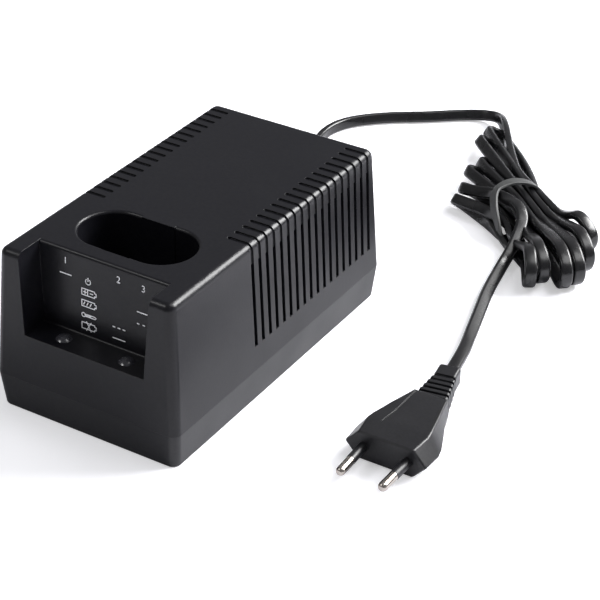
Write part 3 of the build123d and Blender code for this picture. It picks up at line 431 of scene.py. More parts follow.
@dataclass(frozen=True)
class Finish:
    """A surface: what it is, its two tones, how rough it is, and how far that swings down and up."""

    name: str
    colour: str
    second: str
    roughness: float
    smoother: float = 0.0
    rougher: float = 0.0

    def material(self) -> bpy.types.Material:
        """Makes the finish's material on first use.

        Returns:
            The material, whose patterns read the piece's own coordinates.
        """
        if self.name not in _made:
            made = bpy.data.materials.new(self.name)
            made.diffuse_color = linear(self.colour)
            tree = cleared(made)
            where = add_node(tree, "ShaderNodeTexCoord").outputs["Object"]
            skin = add_node(tree, "ShaderNodeBsdfPrincipled", self.surface(tree, where))
            add_node(tree, "ShaderNodeOutputMaterial", {"Surface": skin})
            _made[self.name] = made
        return _made[self.name]

    def surface(self, tree: Tree, where: Socket) -> dict[str, object]:
        """Builds the surface's patterns.

        Args:
            tree: the material's tree.
            where: the piece's coordinates, in metres from the part's origin.

        Returns:
            What each input of the surface's shader gets.
        """
        raise NotImplementedError

    def grain(self, tree: Tree, where: Socket, size: float, detail: float = 2.0) -> Socket:
        """Draws soft random spots of one size.

        Args:
            tree: the material's tree.
            where: the coordinates that carry the pattern.
            size: the spots' size in millimetres.
            detail: how many finer layers lie on the spots.

        Returns:
            A value around 0.5 at each point.
        """
        pattern = {"Vector": where, "Scale": 1 / (size * MM), "Detail": detail}
        return add_node(tree, "ShaderNodeTexNoise", pattern).outputs["Fac"]

    def spread(self, tree: Tree, value: Socket, low: float, high: float) -> Socket:
        """Stretches a pattern over a range.

        Args:
            tree: the material's tree.
            value: a value around 0.5.
            low: what it comes to where the pattern is weakest.
            high: what it comes to where the pattern is strongest.

        Returns:
            The stretched value.
        """
        least, most = NOISE_REACH
        reach = {"Value": value, "From Min": least, "From Max": most, "To Min": low, "To Max": high}
        return add_node(tree, "ShaderNodeMapRange", reach).outputs["Result"]

    def gloss(self, tree: Tree, value: Socket) -> Socket:
        """Returns the roughness, swung down and up by a value around 0.5."""
        return self.spread(tree, value, self.roughness - self.smoother, self.roughness + self.rougher)

    def tint(self, tree: Tree, value: Socket, first: str, second: str) -> Socket:
        """Returns a colour between two, chosen by a value around 0.5."""
        mixed = {0: self.spread(tree, value, 0.0, 1.0), 6: linear(first), 7: linear(second)}
        return add_node(tree, "ShaderNodeMix", mixed, data_type="RGBA").outputs[2]


@dataclass(frozen=True)
class Moulding(Finish):
    """Injection-moulded plastic, whose skin copies the tool's texture."""

    smoother: float = 0.04
    rougher: float = 0.04
    grain_size: float = 0.7
    grain_lift: float = 0.02
    tone_share: float = 2.3  # how much larger the spots of tone are than the grain
    gloss_patch: float = 22.0
    edge: float = 0.25
    ior: float = 1.5
    shine: Shine = Shine.POLISHED

    def surface(self, tree: Tree, where: Socket) -> dict[str, object]:
        """Builds a plastic skin with fine grain, rounded arrises and slow changes of gloss.

        Args:
            tree: the material's tree.
            where: the piece's coordinates.

        Returns:
            What each input of the shader gets.
        """
        arris = add_node(tree, "ShaderNodeBevel", {"Radius": self.edge * MM}, samples=4)
        height = self.grain(tree, where, self.grain_size)
        lift = {"Height": height, "Distance": self.grain_lift * MM, "Normal": arris}
        tone = self.grain(tree, where, self.grain_size * self.tone_share)
        return {
            "Base Color": self.tint(tree, tone, self.colour, self.second),
            "Roughness": self.gloss(tree, self.grain(tree, where, self.gloss_patch, 1.0)),
            "IOR": self.ior,
            "Specular IOR Level": self.shine.value,
            "Normal": add_node(tree, "ShaderNodeBump", lift),
        }


@dataclass(frozen=True)
class Metal(Finish):
    """Bare or plated metal, drawn or brushed one way."""

    smoother: float = 0.08
    rougher: float = 0.08
    line_width: float = 0.15
    line_length: float = 6.0
    along: int = 2
    lift: float = 0.004
    tone_size: float = 4.0

    def surface(self, tree: Tree, where: Socket) -> dict[str, object]:
        """Builds metal with fine lines along one axis and a slow change of tone.

        Args:
            tree: the material's tree.
            where: the piece's coordinates.

        Returns:
            What each input of the shader gets.
        """
        scales = [1.0, 1.0, 1.0]
        scales[self.along] = self.line_width / self.line_length
        drawn = add_node(tree, "ShaderNodeMapping", {"Vector": where, "Scale": scales}).outputs["Vector"]
        lines = self.grain(tree, drawn, self.line_width, 3.0)
        return {
            "Base Color": self.tint(tree, self.grain(tree, where, self.tone_size), self.colour, self.second),
            "Metallic": 1.0,
            "Roughness": self.gloss(tree, lines),
            "Normal": add_node(tree, "ShaderNodeBump", {"Height": lines, "Distance": self.lift * MM}),
        }


@dataclass(frozen=True)
class ClearPlastic(Finish):
    """Tinted clear plastic or glass with a polished skin."""

    rougher: float = 0.06
    ior: float = 1.58
    clear: float = 0.75
    patch: float = 1.5

    def surface(self, tree: Tree, where: Socket) -> dict[str, object]:
        """Builds a tinted clear body whose gloss varies slightly.

        Args:
            tree: the material's tree.
            where: the piece's coordinates.

        Returns:
            What each input of the shader gets.
        """
        patches = self.grain(tree, where, self.patch)
        return {
            "Base Color": self.tint(tree, patches, self.colour, self.second),
            "Roughness": self.gloss(tree, patches),
            "IOR": self.ior,
            "Transmission Weight": self.clear,
        }


@dataclass(frozen=True)
class Layered(Finish):
    """A stack of sheets or a winding: fine lines at a regular pitch across one axis."""

    smoother: float = 0.05
    rougher: float = 0.1
    pitch: float = 0.5
    across: int = 1
    metallic: float = 0.0
    lift: float = 0.05
    patch: float = 2.0

    def surface(self, tree: Tree, where: Socket) -> dict[str, object]:
        """Builds lines at the pitch, dark between neighbours.

        Args:
            tree: the material's tree.
            where: the piece's coordinates.

        Returns:
            What each input of the shader gets.
        """
        scale = math.pi / 10 / (self.pitch * MM)  # at scale 1 the lines are pi / 10 m apart
        pattern = {"Vector": where, "Scale": scale, "Distortion": 0.3, "Detail": 1.0}
        wave = add_node(tree, "ShaderNodeTexWave", pattern, bands_direction="XYZ"[self.across]).outputs["Fac"]
        return {
            # the darker tone between the lines: on stacked sheets their dark joints, on a winding painted
            # shade in the creases between turns
            "Base Color": self.tint(tree, wave, self.second, self.colour),
            "Metallic": self.metallic,
            "Roughness": self.gloss(tree, self.grain(tree, where, self.patch)),
            "Normal": add_node(tree, "ShaderNodeBump", {"Height": wave, "Distance": self.lift * MM}),
        }


@dataclass(frozen=True)
class Ink(Finish):
    """Screen-printed ink with a faint unevenness."""

    rougher: float = 0.1
    spot: float = 0.25

    def surface(self, tree: Tree, where: Socket) -> dict[str, object]:
        """Builds a thin ink film with a fine unevenness.

        Args:
            tree: the material's tree.
            where: the piece's coordinates.

        Returns:
            What each input of the shader gets.
        """
        spots = self.grain(tree, where, self.spot)
        tone = self.tint(tree, spots, self.colour, self.second)
        return {"Base Color": tone, "Roughness": self.gloss(tree, spots)}


# Acrylonitrile butadiene styrene, moulded against a spark-eroded tool: even, near black, soft
# sheen with a fine matt grain.
BLACK_ABS = Moulding("black ABS, spark-textured", "0e0e13", "131317", 0.32, shine=Shine.TEXTURED)
# The same plastic in the tray, whose tool was left a little rougher; its two tones are painted a shade paler
# than the cover's, for the brighter reflections that the tray's downward-leaning sides catch.
TRAY_ABS_PAINTED_PALER = Moulding(
    "black ABS, coarse-textured", "101015", "161619", 0.36, grain_lift=0.03, shine=Shine.COARSE
)
# Soft PVC of the lead's jacket, extruded: smooth, slightly wavy and glossy.
PVC_JACKET = Moulding("black PVC, extruded", "0c0c0e", "131315", 0.27, grain_size=2.6, edge=0.1)
# The same PVC moulded round the plug and the relief: satin with a soft grain.
PVC_MOULDED = Moulding(
    "black PVC, moulded", "121215", "1a1a1d", 0.38, grain_size=0.5, edge=0.3, shine=Shine.SATIN
)
# Polyamide of the tie, the carrier and the lamp spacers: waxy, dull and a little uneven.
GREY_NYLON = Moulding("grey polyamide, extruded", "343535", "3f4040", 0.55, grain_size=0.6, grain_lift=0.03)
BLACK_NYLON = Moulding("black polyamide, moulded", "18181a", "202022", 0.45)
PALE_NYLON = Moulding("natural polyamide, moulded", "d8d2bd", "e2dcc8", 0.45)
# Polycarbonate with a smoke tint: a dark bead with a small bright spot.
SMOKE_LENS = ClearPlastic("smoke polycarbonate, polished", "34343a", "404046", 0.16, clear=0.2)
# Epoxy cast round the lamps: clear, deep in colour, with a wet gloss.
RED_EPOXY = ClearPlastic("red epoxy, cast", "a81414", "961010", 0.1, ior=1.5)
GREEN_EPOXY = ClearPlastic("green epoxy, cast", "14862c", "107525", 0.1, ior=1.5)
# Zinc-plated steel: grey with a faint warm and cool change.
ZINC_STEEL = Metal("zinc-plated steel, rolled", "a9aaa6", "8f9391", 0.36, along=0)
# Nickel plate over brass: bright, slightly warm.
NICKEL = Metal("nickel-plated brass, drawn", "b9b3ad", "a39c95", 0.2, along=1, line_width=0.3, lift=0.001)
# Tinned copper: a cool, soft silver with fine draw lines.
TINNED = Metal("tinned copper wire, drawn", "c2c3c4", "a5a7a9", 0.3, line_width=0.1)
# Bronze strip: warm yellow-brown with rolling lines.
PHOSPHOR_BRONZE = Metal("phosphor bronze strip, rolled", "b98a52", "a67a47", 0.28)
# Extruded aluminium: pale grey, dull, with lines along the fins.
ALUMINIUM = Metal("aluminium, extruded", "b5b8ba", "a0a4a7", 0.38)
# Stacked silicon steel sheets: thin dark gaps between them.
LAMINATION = Layered("silicon steel, laminated", "6c6a66", "3c3a38", 0.5, metallic=0.7)
# Enamelled copper wire wound in layers: fine amber ridges, with painted shade in the creases between turns.
COPPER_WINDING = Layered(
    "enamelled copper, wound", "b0642b", "6d3614", 0.3, pitch=0.45, across=2, metallic=0.8
)
# Wrapped tape: clear yellow over a slightly uneven winding.
TAPE_YELLOW = Moulding("polyester tape, wrapped", "d8b63a", "caa72f", 0.35, grain_size=3.0)
# Paper-phenolic board: brown, dull, cut edges.
BOARD = Moulding("paper phenolic, sheared", "7a4f26", "6b4420", 0.5, grain_size=1.2)
# Shrunk sleeve: dark blue, tight and shiny.
CAN_SLEEVE = Moulding("heat-shrunk PVC sleeve", "1d2a44", "223050", 0.3)
# Moulded epoxy: charcoal, matt and fine.
DEVICE_EPOXY = Moulding("black epoxy, transfer-moulded", "1b1b1c", "232324", 0.5)
# Dipped lacquers: thick soft skins, tan and ochre.
RESISTOR_LACQUER = Moulding("tan lacquer, dipped", "c6a66c", "bb9a60", 0.4, grain_size=1.0)
DISC_LACQUER = Moulding("ochre lacquer, dipped", "b8742a", "ab6a24", 0.4, grain_size=1.0)
# Glass tube: clear, with a sharp line of light along it.
FUSE_GLASS = ClearPlastic("soda glass tube, drawn", "dfe6e4", "d2dcd9", 0.03, ior=1.52, clear=0.95)
# Insulated wire: plain blue with a soft shine.
WIRE_PVC = Moulding("wire PVC, extruded", "274b8f", "22427f", 0.35, grain_size=1.5)
# Opaque printing ink: flat white with a faint tooth.
WHITE_INK = Ink("white ink, screen-printed", "fcfdff", "ebedf0", 0.45)

NODE_FINISHES: dict[Finish, tuple[str, ...]] = {
    ZINC_STEEL: (
        "housing_screws", "board_screws", "transformer_bracket", "bracket_screws", "transistor_screw",
        "clamp_screws",
    ),
    PHOSPHOR_BRONZE: ("contact_leaf_positive", "contact_leaf_sensor", "contact_leaf_negative"),
    TINNED: ("lamp_leads", "contact_terminals"),
    NICKEL: ("fuse_clips",),
    ALUMINIUM: ("heat_sink",),
    LAMINATION: ("transformer_core",),
    COPPER_WINDING: ("secondary_winding",),
    TAPE_YELLOW: ("primary_winding",),
    PALE_NYLON: ("lamp_spacers", "transformer_bobbin"),
    BLACK_NYLON: ("contact_carrier", "cord_clamp"),
    RED_EPOXY: ("indicator_lamp_left",),
    GREEN_EPOXY: ("indicator_lamp_right",),
    BOARD: ("circuit_board",),
    CAN_SLEEVE: ("filter_capacitor",),
    DEVICE_EPOXY: ("power_transistor", "rectifier_diodes", "control_chip"),
    RESISTOR_LACQUER: ("resistors",),
    DISC_LACQUER: ("ceramic_capacitors",),
    FUSE_GLASS: ("fuse_link",),
    WIRE_PVC: ("secondary_leads", "mains_conductors"),
    PVC_JACKET: ("inner_cord",),
}


# ---------------- mains lead


@dataclass(frozen=True)
class Fold:
    """One turn-back of the hank.

    The tip is its furthest place, the level its middle height, and the lean turns its plane from
    upright: more than 0 brings the upper strand to the near side.
    """

    tip: Place
    level: float
    radius: float
    lean: float
    rising: bool
    shoulder: float = 8.0  # from the waist to where its strands begin to spread
    dip: float = 0.0  # how far its upper strand is pressed down near the waist
    belly: float = 0.0  # how far its lower strand swings out to the far side
    reach: float = 0.0  # how much longer its upper bend is than a round one, in radii
    inset: float = 0.0  # how far its upper strand moves in from the waist's side


@dataclass
class MainsLead:
    """Flat two-core lead: out of the rear, wound in a hank, and on to the plug."""

    width: float = 5.4
    thickness: float = 3.4
    corner: float = 1.15
    corner_steps: int = 5
    steps: int = 7
    waist: Place = (66.0, 162.0)
    axis: Place = (0.763, -0.646)
    lead_lean: float = 0.5  # how far the lead's upper edge leans to the rear
    tail_tilt: float = 0.45  # how far the tail's flat face leans to its right
    tilt_rise: float = 3.0  # how fast that lean comes over the hank
    tilt_fall: float = 5.0  # and how fast it goes before the plug
    bow: float = 5.0  # how far the long strands of the near end bow outwards
    flare: float = 1.05  # how much further apart strands stand at the shoulder than at the waist
    first_turn: float = 0.3  # how far a strand has turned to its fold's plane at the shoulder
    strand_turns: tuple[Place, ...] = ((0.34, 0.8), (0.68, 1.0))  # shares of its way, and the turn there
    fold_angles: tuple[int, ...] = (75, 45, 15, -15, -45, -75)
    fold_room: float = 1.03  # control points stand this much outside the fold's radius
    lead_route: tuple[Point, ...] = (
        (-16.0, 99.8, 15.0), (-16.0, 113.0, 15.0), (-20.0, 129.0, 11.5), (-30.0, 146.0, 6.0),
        (-43.5, 162.0, 3.0), (-52.0, 181.0, 2.9), (-50.0, 201.0, 2.9), (-36.0, 217.0, 2.9),
        (-18.0, 229.5, 2.9), (-4.0, 241.5, 2.9), (6.0, 247.0, 3.2), (15.0, 244.5, 5.2),
        (22.0, 234.0, 8.2),
    )
    # directions of the lead's width where it turns from level to upright
    lead_widths: tuple[Point, ...] = ((1.0, 0.0, 0.0), (1.0, 0.0, 0.0), (0.94, 0.2, 0.25), (0.6, 0.3, 0.7))
    approach: tuple[Point, ...] = (
        (29.5, 222.5, 8.8), (37.0, 210.0, 8.8), (45.0, 198.0, 9.0), (52.5, 187.0, 9.6),
    )
    over_hank: tuple[Point, ...] = (
        (66.0, 154.4, 14.8), (70.6, 151.2, 14.6), (73.7, 147.5, 13.0), (75.0, 144.7, 11.4),
        (76.1, 139.7, 9.6), (77.1, 133.7, 7.2), (77.4, 130.4, 6.0),
    )
    tail_route: tuple[Point, ...] = (
        (77.4, 127.0, 4.2), (77.9, 120.7, 2.9), (79.2, 113.6, 2.9), (82.4, 97.0, 2.9),
        (87.2, 80.0, 2.9), (92.2, 62.0, 3.2), (97.3, 46.0, 5.4), (100.68, 28.03, 6.85),
    )
    folds: tuple[Fold, ...] = (
        Fold((106.0, 151.5), 9.6, 7.6, 0.0, False, reach=0.9),
        Fold((21.2, 225.8), 6.6, 5.4, 60.0, True, belly=2.6),
        Fold((111.7, 135.0), 9.9, 7.9, 0.0, False, reach=0.9),
        Fold((23.2, 212.0), 7.6, 6.2, 50.0, True),
        Fold((112.9, 122.8), 9.6, 7.6, 0.0, False, reach=1.0),
        Fold((32.6, 194.2), 7.0, 5.2, 62.0, True),
        Fold((109.6, 117.0), 9.8, 7.8, 0.0, False, reach=1.0),
        Fold((30.8, 184.0), 7.0, 5.0, 62.0, True),
        Fold((99.7, 116.0), 9.4, 7.4, 0.0, False, dip=3.6, reach=1.0),
        Fold((35.6, 158.9), 4.6, 2.8, 50.0, True, shoulder=-1.0),
        Fold((96.4, 109.5), 9.4, 7.4, 0.0, False, dip=8.4, reach=0.9, inset=2.0),
        Fold((35.2, 167.0), 7.0, 4.4, 60.0, True),
    )
    # across the waist and height of each strand, in the order that the lead passes
    waist_places: tuple[Place, ...] = (
        (12.0, 9.8), (12.0, 4.4), (8.0, 9.8), (8.0, 4.4), (4.0, 9.8), (4.0, 4.4), (0.0, 9.8),
        (0.0, 4.4), (-4.0, 8.8), (-14.2, 2.9), (-12.0, 8.0), (-5.4, 3.2), (-9.0, 12.9),
    )

    def at_waist(self, along: float, across: float, height: float) -> Vector:
        """Returns a place in millimetres, measured along and across the hank from its waist."""
        ahead, aside = Vector(self.axis), Vector((-self.axis[1], self.axis[0]))
        return (Vector(self.waist) + ahead * along + aside * across).to_3d() + UP * height

    def strand(self, shoulder: Vector, fold_end: Vector, push: Vector, turned: Vector) -> list[Knot]:
        """Lists the points of one strand between the waist and its fold.

        Args:
            shoulder: where the strand leaves the waist.
            fold_end: where its fold begins.
            push: how far and which way the strand bows halfway, in millimetres.
            turned: the direction of the cord's width at the fold.

        Returns:
            Two points with their width directions, from the shoulder outwards.
        """
        points = []
        for share, twist in self.strand_turns:
            # the push is full halfway, and nothing at both ends
            spot = shoulder.lerp(fold_end, share) + push * 4 * share * (1 - share)
            spot.z = shoulder.z + (fold_end.z - shoulder.z) * share + push.z * (1 - share)
            points.append((spot, UP.lerp(turned, twist).normalized()))
        return points

    def fold_points(self, fold: Fold, start: Place, end: Place) -> list[Knot]:
        """Lists the control points of one fold.

        Args:
            fold: the turn-back.
            start: place across the waist, and height, of the strand that runs out.
            end: place across the waist, and height, of the strand that comes back.

        Returns:
            Points in millimetres and unit width directions, from the waist out and back to the shoulder.
        """
        tip = Vector(fold.tip)
        along = Vector((*self.axis, 0.0))
        side = math.copysign(1.0, (tip - Vector(self.waist)).dot(along.xy))
        bow = along * side * (self.bow if side > 0 else 0.0)
        out = self.at_waist(side * fold.shoulder, start[0] * self.flare + fold.inset, start[1])
        back = self.at_waist(side * fold.shoulder, end[0] * self.flare, end[1])
        onward = (tip - (out.xy + back.xy) / 2 - bow.xy * 2).to_3d().normalized()
        near = UP.cross(onward)
        if near.y > 0:
            near = -near
        lean = math.radians(fold.lean)
        rise = UP * math.cos(lean) + near * math.sin(lean)
        first = rise * (-1.0 if fold.rising else 1.0)
        flat = onward.cross(rise).normalized()
        if flat.z < 0:
            flat = -flat
        centre = tip.to_3d() - onward * fold.radius + UP * fold.level
        pressed = bow - UP * fold.dip
        swung = bow + Vector((-along.y, along.x, 0.0)) * fold.belly
        pushes = (swung, pressed) if fold.rising else (pressed, swung)
        turning = UP.lerp(flat, self.first_turn).normalized()
        points = [(self.at_waist(0.0, *start), UP)] if fold.shoulder > 0 and not fold.inset else []
        points.append((out, turning))
        lag = onward * fold.radius * fold.reach
        points += self.strand(out, centre + first * fold.radius - lag, pushes[0], flat)
        for degrees in self.fold_angles:
            turn = math.radians(degrees)
            spot = centre + (onward * math.cos(turn) + first * math.sin(turn)) * fold.radius * self.fold_room
            points.append((spot - lag * (1 - math.cos(turn)) * (degrees > 0), flat))
        points += reversed(self.strand(back, centre - first * fold.radius, pushes[1], flat))
        if fold.shoulder > 0:
            points.append((back, turning))
        return points

    def control_points(self) -> list[Knot]:
        """Lists the control points of the whole lead.

        Returns:
            Points in millimetres with the direction of the cord's width there, from the rear to the plug.
        """
        upright = (0.0, self.lead_lean, 1.0)
        lead = zip_longest(self.lead_route, self.lead_widths, fillvalue=upright)
        points = [(Vector(spot), Vector(width).normalized()) for spot, width in lead]
        points += [(Vector(spot), UP) for spot in self.approach]
        for fold, start, end in zip(self.folds, self.waist_places, self.waist_places[1:]):
            points += self.fold_points(fold, start, end)
        last = [Vector(spot) for spot in self.over_hank + self.tail_route]
        for number, (here, ahead) in enumerate(zip(last, last[1:] + [last[-1] * 2 - last[-2]])):
            share = number / (len(last) - 1)
            run = (ahead - here).xy.normalized()
            tilt = self.tail_tilt * min(1.0, self.tilt_rise * share, self.tilt_fall * (1 - share))
            points.append((here, Vector((-run.y, run.x, -tilt)).normalized()))
        return points

    def section(self) -> list[Place]:
        """Draws the outline of the flat cord.

        Returns:
            Its points in metres, along the cord's width and its thickness.
        """
        across, rise = self.width / 2 - self.corner, self.thickness / 2 - self.corner
        centres = ((across, -rise), (across, rise), (-across, rise), (-across, -rise))
        outline = []
        for number, (x, y) in enumerate(centres):
            for i in range(self.corner_steps):
                turn = math.pi / 2 * (number - 1 + i / (self.corner_steps - 1))
                corner = (x + self.corner * math.cos(turn), y + self.corner * math.sin(turn))
                outline.append((corner[0] * MM, corner[1] * MM))
        return outline

    def build(self) -> tuple[Piece, list[Vector]]:
        """Sweeps the flat cord along its line.

        Returns:
            The cord and the points that it follows.
        """
        points = self.control_points()
        widths = [points[0][1]]
        for _, width in points[1:]:
            widths.append(width if width.dot(widths[-1]) >= 0 else -width)
        path = smooth_line([spot for spot, _ in points], self.steps)
        outline = self.section()
        last = len(path) - 1
        rings: list[Vector] = []
        for i, spot in enumerate(path):
            along = (path[min(i + 1, last)] - path[max(i - 1, 0)]).normalized()
            # the place among the control points that this share of the line answers to
            place = i / last * (len(points) - 2) + 0.5
            before = int(place)
            width = widths[before].lerp(widths[before + 1], place - before)
            width = (width - along * width.dot(along)).normalized()
            rise = along.cross(width)
            rings += [spot + width * x + rise * y for x, y in outline]
        mesh = mesh_from(rings, tube_faces(len(path), len(outline)))
        cord = softened(add_piece("mains_lead", mesh, PVC_JACKET.material()), angle=60, keep=False)
        return stand_in(cord, "pvc_black", "cord_lead", "cord_hank", "cord_tail"), path


@dataclass
class HankTie:
    """Flat band that holds the hank together at its waist."""

    width: float = 4.6
    thickness: float = 1.3
    edge: float = 0.35
    steps: int = 8
    middle: float = 7.0  # height of the line that the band goes round
    clearance: float = 0.15  # from the floor
    # along the hank, across it, and height
    outline: tuple[Point, ...] = (
        (16.0, -15.6, 2.6), (10.8, -15.6, 8.0), (3.0, -14.6, 12.6), (-6.0, -10.8, 15.6),
        (-9.3, -4.5, 16.5), (-10.2, 1.5, 16.7), (-10.0, 9.0, 14.8), (-8.5, 14.6, 10.0),
        (-6.5, 15.4, 3.6), (-2.0, 10.0, 1.0), (4.5, 2.0, 1.0), (11.5, -7.0, 1.0),
    )

    def build(self, lead: MainsLead) -> Piece:
        """Builds the band round the lead's strands.

        Args:
            lead: the lead, whose waist the band hugs.

        Returns:
            The band.
        """
        path = smooth_line([lead.at_waist(*spot) for spot in self.outline], self.steps, closed=True)
        ahead = Vector((*lead.axis, 0.0))
        middle = lead.at_waist(0.0, 0.0, self.middle) * MM
        half, thick = self.width / 2 * MM, self.thickness / 2 * MM
        points: list[Vector] = []
        for i, spot in enumerate(path):
            along = (path[(i + 1) % len(path)] - path[i - 1]).normalized()
            spoke = spot - middle
            out = spoke - ahead * spoke.dot(ahead)
            out = (out - along * out.dot(along)).normalized()
            aside = along.cross(out)
            for x, y in ((-half, -thick), (half, -thick), (half, thick), (-half, thick)):
                corner = spot + aside * x + out * y
                corner.z = max(corner.z, self.clearance * MM)
                points.append(corner)
        mesh = mesh_from(points, tube_faces(len(path), 4, closed=True))
        band = add_piece("cord_tie", mesh, GREY_NYLON.material())
        eased(band, self.edge, segments=2, angle=30)
        return stand_in(softened(band, angle=50), "tie_grey", "hank_tie")


# ---------------- plug


@dataclass
class Relief:
    """Ribbed strain relief behind the plug: a core, ribs made in Geometry Nodes, and a collar."""

    start: Point = (104.88, 4.2, 6.85)
    turn: float = 10.0
    length: float = 24.2
    core: Place = (7.8, 6.6)
    core_gap: float = 0.5  # from the core's end to the collar's
    collar: Point = (9.0, 8.0, 6.8)
    rib: Point = (13.2, 10.4, 1.75)
    ribs: int = 5
    shrink: float = 0.062
    corner: float = 1.3
    corner_steps: int = 4
    edge: float = 0.22

    def plate_tree(self) -> Tree:
        """Builds the tree that repeats a round-cornered plate along +Y, each a little smaller.

        Returns:
            The tree.
        """
        lengths = ("Start", "Pitch", "Width", "Height", "Thickness", "Corner", "Shrink")
        sockets = {**dict.fromkeys(lengths, "Float"), "Count": "Int", "Finish": "Material"}
        tree, given = start_tree("row of plates", sockets)
        sides = {"Width": given["Width"], "Height": given["Height"]}
        outline = add_node(tree, "GeometryNodeCurvePrimitiveQuadrilateral", sides)
        corners = {"Curve": outline, "Radius": given["Corner"], "Count": self.corner_steps}
        profile = add_node(tree, "GeometryNodeFilletCurve", corners, mode="POLY")
        depth = add_node(tree, "ShaderNodeCombineXYZ", {"Z": given["Thickness"]})
        run = add_node(tree, "GeometryNodeCurvePrimitiveLine", {"End": depth})
        sweep = {"Curve": run, "Profile Curve": profile, "Fill Caps": True}
        plate = add_node(tree, "GeometryNodeCurveToMesh", sweep)
        turn = {"Geometry": plate, "Rotation": (-math.pi / 2, 0.0, 0.0)}
        upright = add_node(tree, "GeometryNodeTransform", turn)
        first = add_node(tree, "ShaderNodeCombineXYZ", {"Y": given["Start"]})
        step = add_node(tree, "ShaderNodeCombineXYZ", {"Y": given["Pitch"]})
        line = {"Count": given["Count"], "Start Location": first, "Offset": step}
        row = add_node(tree, "GeometryNodeMeshLine", line)
        number = add_node(tree, "GeometryNodeInputIndex")
        less = add_node(tree, "ShaderNodeMath", {0: number, 1: given["Shrink"]}, operation="MULTIPLY")
        share = add_node(tree, "ShaderNodeMath", {0: 1.0, 1: less}, operation="SUBTRACT")
        size = add_node(tree, "ShaderNodeCombineXYZ", {"X": share, "Y": 1.0, "Z": share})
        copies = {"Points": row, "Instance": upright, "Scale": size}
        return end_tree(tree, add_node(tree, "GeometryNodeInstanceOnPoints", copies), given["Finish"])

    def build(self) -> Piece:
        """Builds the relief as one piece.

        Returns:
            The relief.
        """
        tree = self.plate_tree()
        neck = self.length - self.collar[2]
        rows = (
            (*self.rib, 0.0, neck / self.ribs, self.ribs),
            (*self.core, self.length - self.core_gap, 0.0, 0.0, 1),
            (*self.collar, neck, 0.0, 1),
        )
        keys = ("Width", "Height", "Thickness", "Start", "Pitch", "Corner")
        shared = {"Shrink": self.shrink, "Finish": PVC_MOULDED.material()}
        mesh = bpy.data.meshes.new("plates")
        with editing(mesh) as form:
            for *sizes, count in rows:
                lengths = {key: size * MM for key, size in zip(keys, (*sizes, self.corner))}
                row = repeated("plates", tree, {**lengths, **shared, "Count": count})
                form.from_mesh(row.data)
                bpy.data.objects.remove(row)
            close_up(form)
        mesh.transform(frame_at(self.start, self.turn))
        relief = add_piece("plug_relief", mesh, PVC_MOULDED.material())
        return softened(eased(relief, self.edge, segments=2, angle=50), angle=35)


